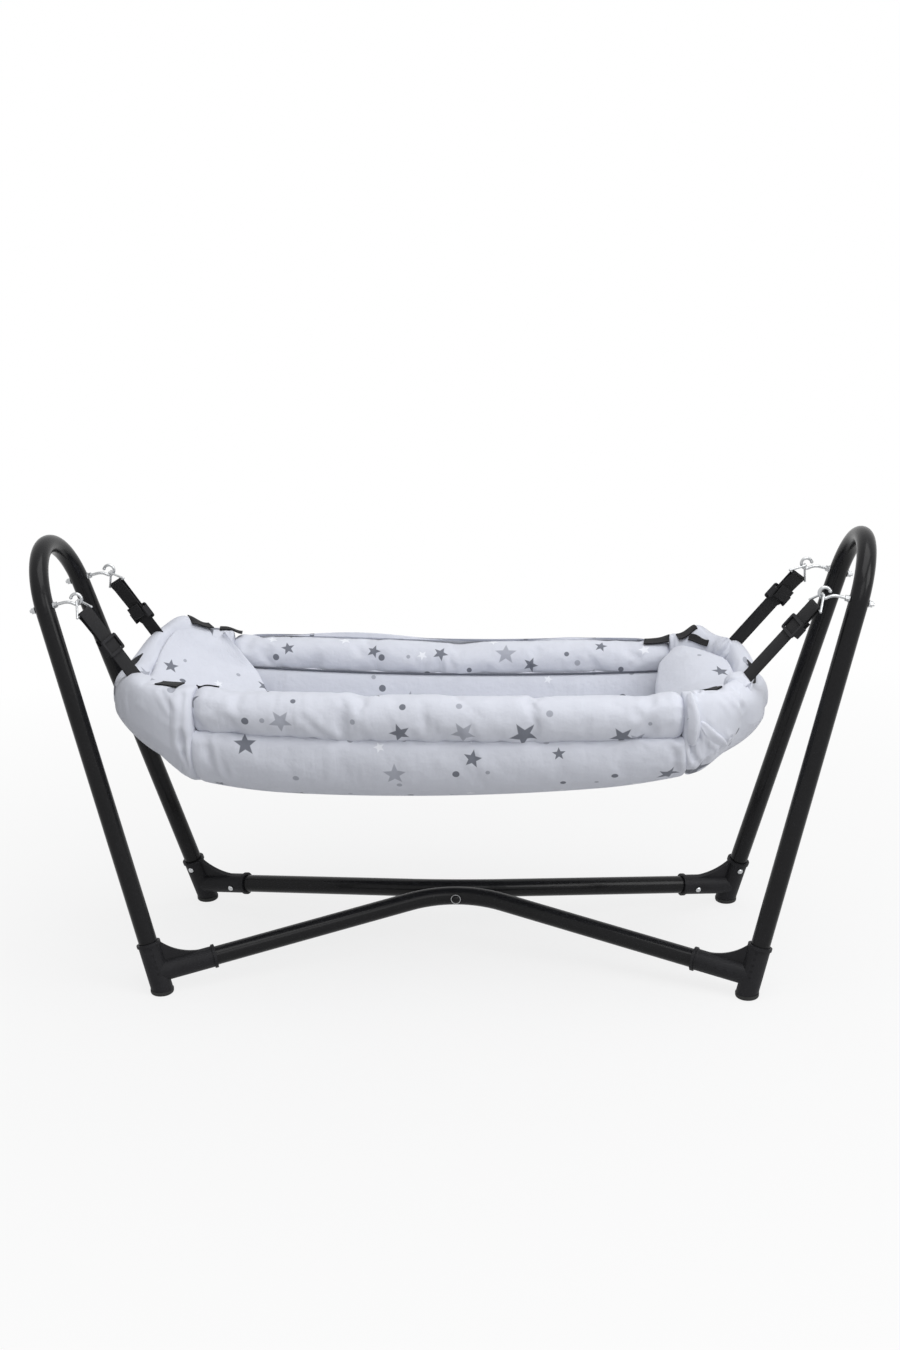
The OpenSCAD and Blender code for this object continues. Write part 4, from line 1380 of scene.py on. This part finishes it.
def sewn_webbing(name, start, stop, width, skins):
    """A short length of webbing that lies on padded pieces, drawn tight over the dips between them."""
    start, stop = Vector(start), Vector(stop)
    run = stop - start
    across = Vector((-run.y, run.x)).normalized()
    rows, columns, rounds = 16, 10, 60
    above = 0.0004
    plan, level = {}, {}
    for i in range(rows + 1):
        for j in range(columns + 1):
            spot = start + run * (i / rows) + across * (width * (j / columns - 0.5))
            plan[i, j] = spot
            level[i, j] = height_on(skins, spot.x, spot.y)
    for _ in range(rounds):
        tighter = {}
        for i, j in level:
            near = [level[k] for k in ((i - 1, j), (i + 1, j), (i, j - 1), (i, j + 1)) if k in level]
            tighter[i, j] = max(level[i, j], sum(near) / len(near))
        level = tighter
    work = bmesh.new()
    layer = work.loops.layers.uv.new("skin")
    grid = {key: work.verts.new((*plan[key], level[key] + above)) for key in plan}
    for i in range(rows):
        for j in range(columns):
            corners = [(i, j), (i + 1, j), (i + 1, j + 1), (i, j + 1)]
            face = work.faces.new([grid[key] for key in corners])
            for loop, (r, c) in zip(face.loops, corners):
                loop[layer].uv = (run.length * r / rows, width * c / columns)
    bmesh.ops.recalc_face_normals(work, faces=work.faces)
    if sum(face.normal.z for face in work.faces) < 0:
        bmesh.ops.reverse_faces(work, faces=work.faces)
    return web_piece(name, work, "SOLIDIFY", thickness=webbing_sizes().thickness, offset=1.0)


class HAMMOCK_OT_trim(bpy.types.Operator):
    """Makes the rim webbing and the short lengths of webbing that are sewn on at the corners"""

    bl_idname = "hammock.trim"
    bl_label = "Webbing trim"

    def execute(self, context):
        for side, sign in SIDES.items():
            band = web_strip(f"rim_band_{side}", rim_heads(sign))
            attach(band, "hammock")
            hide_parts(f"rim_webbing_{side}")
        context.view_layer.update()
        carriers = ("bolster_", "panel_", "end_", "pouch_")
        made = [obj for obj in context.scene.objects if obj.name not in frame["nodes"]]
        skins = [obj for obj in made if obj.name.startswith(carriers)]
        for name, (start, stop, width) in PATCHES.items():
            patch = sewn_webbing(f"web_patch_{name}", start, stop, width, skins)
            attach(patch, "hammock")
        return {"FINISHED"}


class HAMMOCK_OT_stand(bpy.types.Operator):
    """Gives the stand's tubes, connectors, pads and fasteners their finishes"""

    bl_idname = "hammock.stand"
    bl_label = "Stand"

    def execute(self, context):
        finishes = {
            "tube_black": "enamel",
            "bolt_black": "enamel",
            "connector_black": "plastic",
            "slider_black": "plastic",
            "foot_rubber": "rubber",
            "zinc": "zinc",
            "webbing_black": "webbing",
            "printed_cloth": "cloth",
        }
        for part in frame["record"]["subparts"]:
            paint(frame["nodes"][part["node"]], finishes[part["material_slot"]])
        return {"FINISHED"}


WHITE = (1, 1, 1, 1)
LAMP_AIM = Vector((0, 0, 0.3))
# Each lamp's name, place, width, height and watts
LAMPS = [
    ("key", (0.5, -0.4, 3.0), 2.6, 2.0, 51),
    ("side", (2.4, -1.2, 1.9), 1.4, 1.4, 28),
    ("front", (0.7, -2.6, 2.2), 1.6, 1.2, 12),
]


def area_lamp(name, place, width, height, watts):
    lamp = bpy.data.lights.new(name, "AREA")
    lamp.shape = "RECTANGLE"
    lamp.size = width
    lamp.size_y = height
    lamp.energy = watts
    holder = bpy.data.objects.new(name, lamp)
    holder.location = place
    holder.rotation_euler = (LAMP_AIM - Vector(place)).to_track_quat("-Z", "Y").to_euler()
    bpy.context.scene.collection.objects.link(holder)


def seen_directly(bench):
    """1 for what the camera sees, also in a reflection or through glass, and 0 for light."""
    path = bench.add("ShaderNodeLightPath").outputs
    found = bench.math("MAXIMUM", path["Is Camera Ray"], path["Is Glossy Ray"])
    return bench.math("MAXIMUM", found, path["Is Transmission Ray"])


def background_world():
    """White where it is seen, and a softer grey as light."""
    world = bpy.data.worlds.new("studio")
    world.use_nodes = True
    bench = Bench(world.node_tree)
    ground = world.node_tree.nodes["Background"]
    bench.feed(ground.inputs["Color"], WHITE)
    bench.feed(ground.inputs["Strength"], bench.span(seen_directly(bench), 0.0, 1.0, 0.36, 1.0))
    bpy.context.scene.world = world


def floor_material():
    """A pale floor that fades to plain white far from the object."""
    material, bench, sockets = new_material("pale_floor")
    place = bench.place("Object")
    away = bench.distance(place)
    speck = bench.noise(place, 3.0, 2.0)
    base = colours().floor
    bench.feed(sockets["Base Color"], bench.mix(speck, opaque(base, 0.99), opaque(base)))
    bench.feed(sockets["Roughness"], bench.span(speck, 0.0, 1.0, 0.8, 0.9))
    far = bench.math("MULTIPLY", bench.span(away, 0.3, 1.6, 0.80, 1.0), seen_directly(bench))
    white = bench.add("ShaderNodeEmission", WHITE, 1.0)
    shader = material.node_tree.nodes["Principled BSDF"]
    mixed = bench.add("ShaderNodeMixShader", far, shader.outputs[0], white.outputs[0])
    bench.feed(material.node_tree.nodes["Material Output"].inputs["Surface"], mixed.outputs[0])
    return material


class HAMMOCK_OT_stage(bpy.types.Operator):
    """Sets the floor, the soft light and the camera"""

    bl_idname = "hammock.stage"
    bl_label = "Stage"

    def execute(self, context):
        scene = context.scene
        scene.view_settings.view_transform = "Standard"
        bpy.ops.object.select_all(action="DESELECT")
        bpy.ops.mesh.primitive_circle_add(vertices=96, radius=60, fill_type="NGON", location=(0, 0, 0))
        floor = context.object
        floor.name = "floor"
        floor.data.materials.append(floor_material())
        background_world()
        for lamp in LAMPS:
            area_lamp(*lamp)
        self.place_camera(scene)
        return {"FINISHED"}

    def place_camera(self, scene):
        """Puts the camera where the photograph was taken from, with the same field of view."""
        azimuth, elevation, roll = math.radians(4.01), math.radians(16.33), math.radians(-1.44)
        target, distance = Vector((-0.002, 0, 0.393)), 2.295
        focal_pixels, picture_pixels, sensor = 1715.3, 1350, 36
        back = Vector((
            math.sin(azimuth) * math.cos(elevation),
            -math.cos(azimuth) * math.cos(elevation),
            math.sin(elevation),
        ))
        level = (-back).cross(Vector((0, 0, 1))).normalized()
        upright = level.cross(-back)
        right = math.cos(roll) * level + math.sin(roll) * upright
        up = math.cos(roll) * upright - math.sin(roll) * level
        lens = bpy.data.cameras.new("camera")
        lens.sensor_width = sensor
        lens.lens = focal_pixels * sensor / picture_pixels
        camera = bpy.data.objects.new("camera", lens)
        place = Matrix((right, up, back)).transposed().to_4x4()
        place.translation = target + back * distance
        camera.matrix_world = place
        scene.collection.objects.link(camera)
        scene.camera = camera


class HAMMOCK_PT_panel(bpy.types.Panel):
    """Lists the sizes, the colours and the operators"""

    bl_idname = "HAMMOCK_PT_panel"
    bl_label = "Padded hammock"
    bl_space_type = "VIEW_3D"
    bl_region_type = "UI"
    bl_category = "Hammock"

    def draw(self, context):
        for group_name in GROUPS:
            group = getattr(context.scene, group_name)
            box = self.layout.box()
            for name in group.__annotations__:
                box.prop(group, name)
        for operator in OPERATORS:
            self.layout.operator(operator.bl_idname)


GROUPS = {
    "hammock_cloth": HAMMOCK_PG_cloth,
    "hammock_webbing": HAMMOCK_PG_webbing,
    "hammock_colours": HAMMOCK_PG_colours,
}
OPERATORS = [
    HAMMOCK_OT_stage,
    HAMMOCK_OT_stand,
    HAMMOCK_OT_straps,
    HAMMOCK_OT_bolsters,
    HAMMOCK_OT_panels,
    HAMMOCK_OT_bed,
    HAMMOCK_OT_ends,
    HAMMOCK_OT_pouches,
    HAMMOCK_OT_trim,
]
CLASSES = (*GROUPS.values(), *OPERATORS, HAMMOCK_PT_panel)


def register():
    for group in CLASSES:
        bpy.utils.register_class(group)
    for name, group in GROUPS.items():
        setattr(bpy.types.Scene, name, bpy.props.PointerProperty(type=group))


def unregister():
    for name in GROUPS:
        delattr(bpy.types.Scene, name)
    for group in reversed(CLASSES):
        bpy.utils.unregister_class(group)


def main():
    register()
    bpy.ops.hammock.stage()
    bpy.ops.hammock.stand()
    bpy.ops.hammock.straps()
    bpy.ops.hammock.bolsters()
    bpy.ops.hammock.panels()
    bpy.ops.hammock.bed()
    bpy.ops.hammock.ends()
    bpy.ops.hammock.pouches()
    bpy.ops.hammock.trim()


if __name__ == "__main__":
    main()
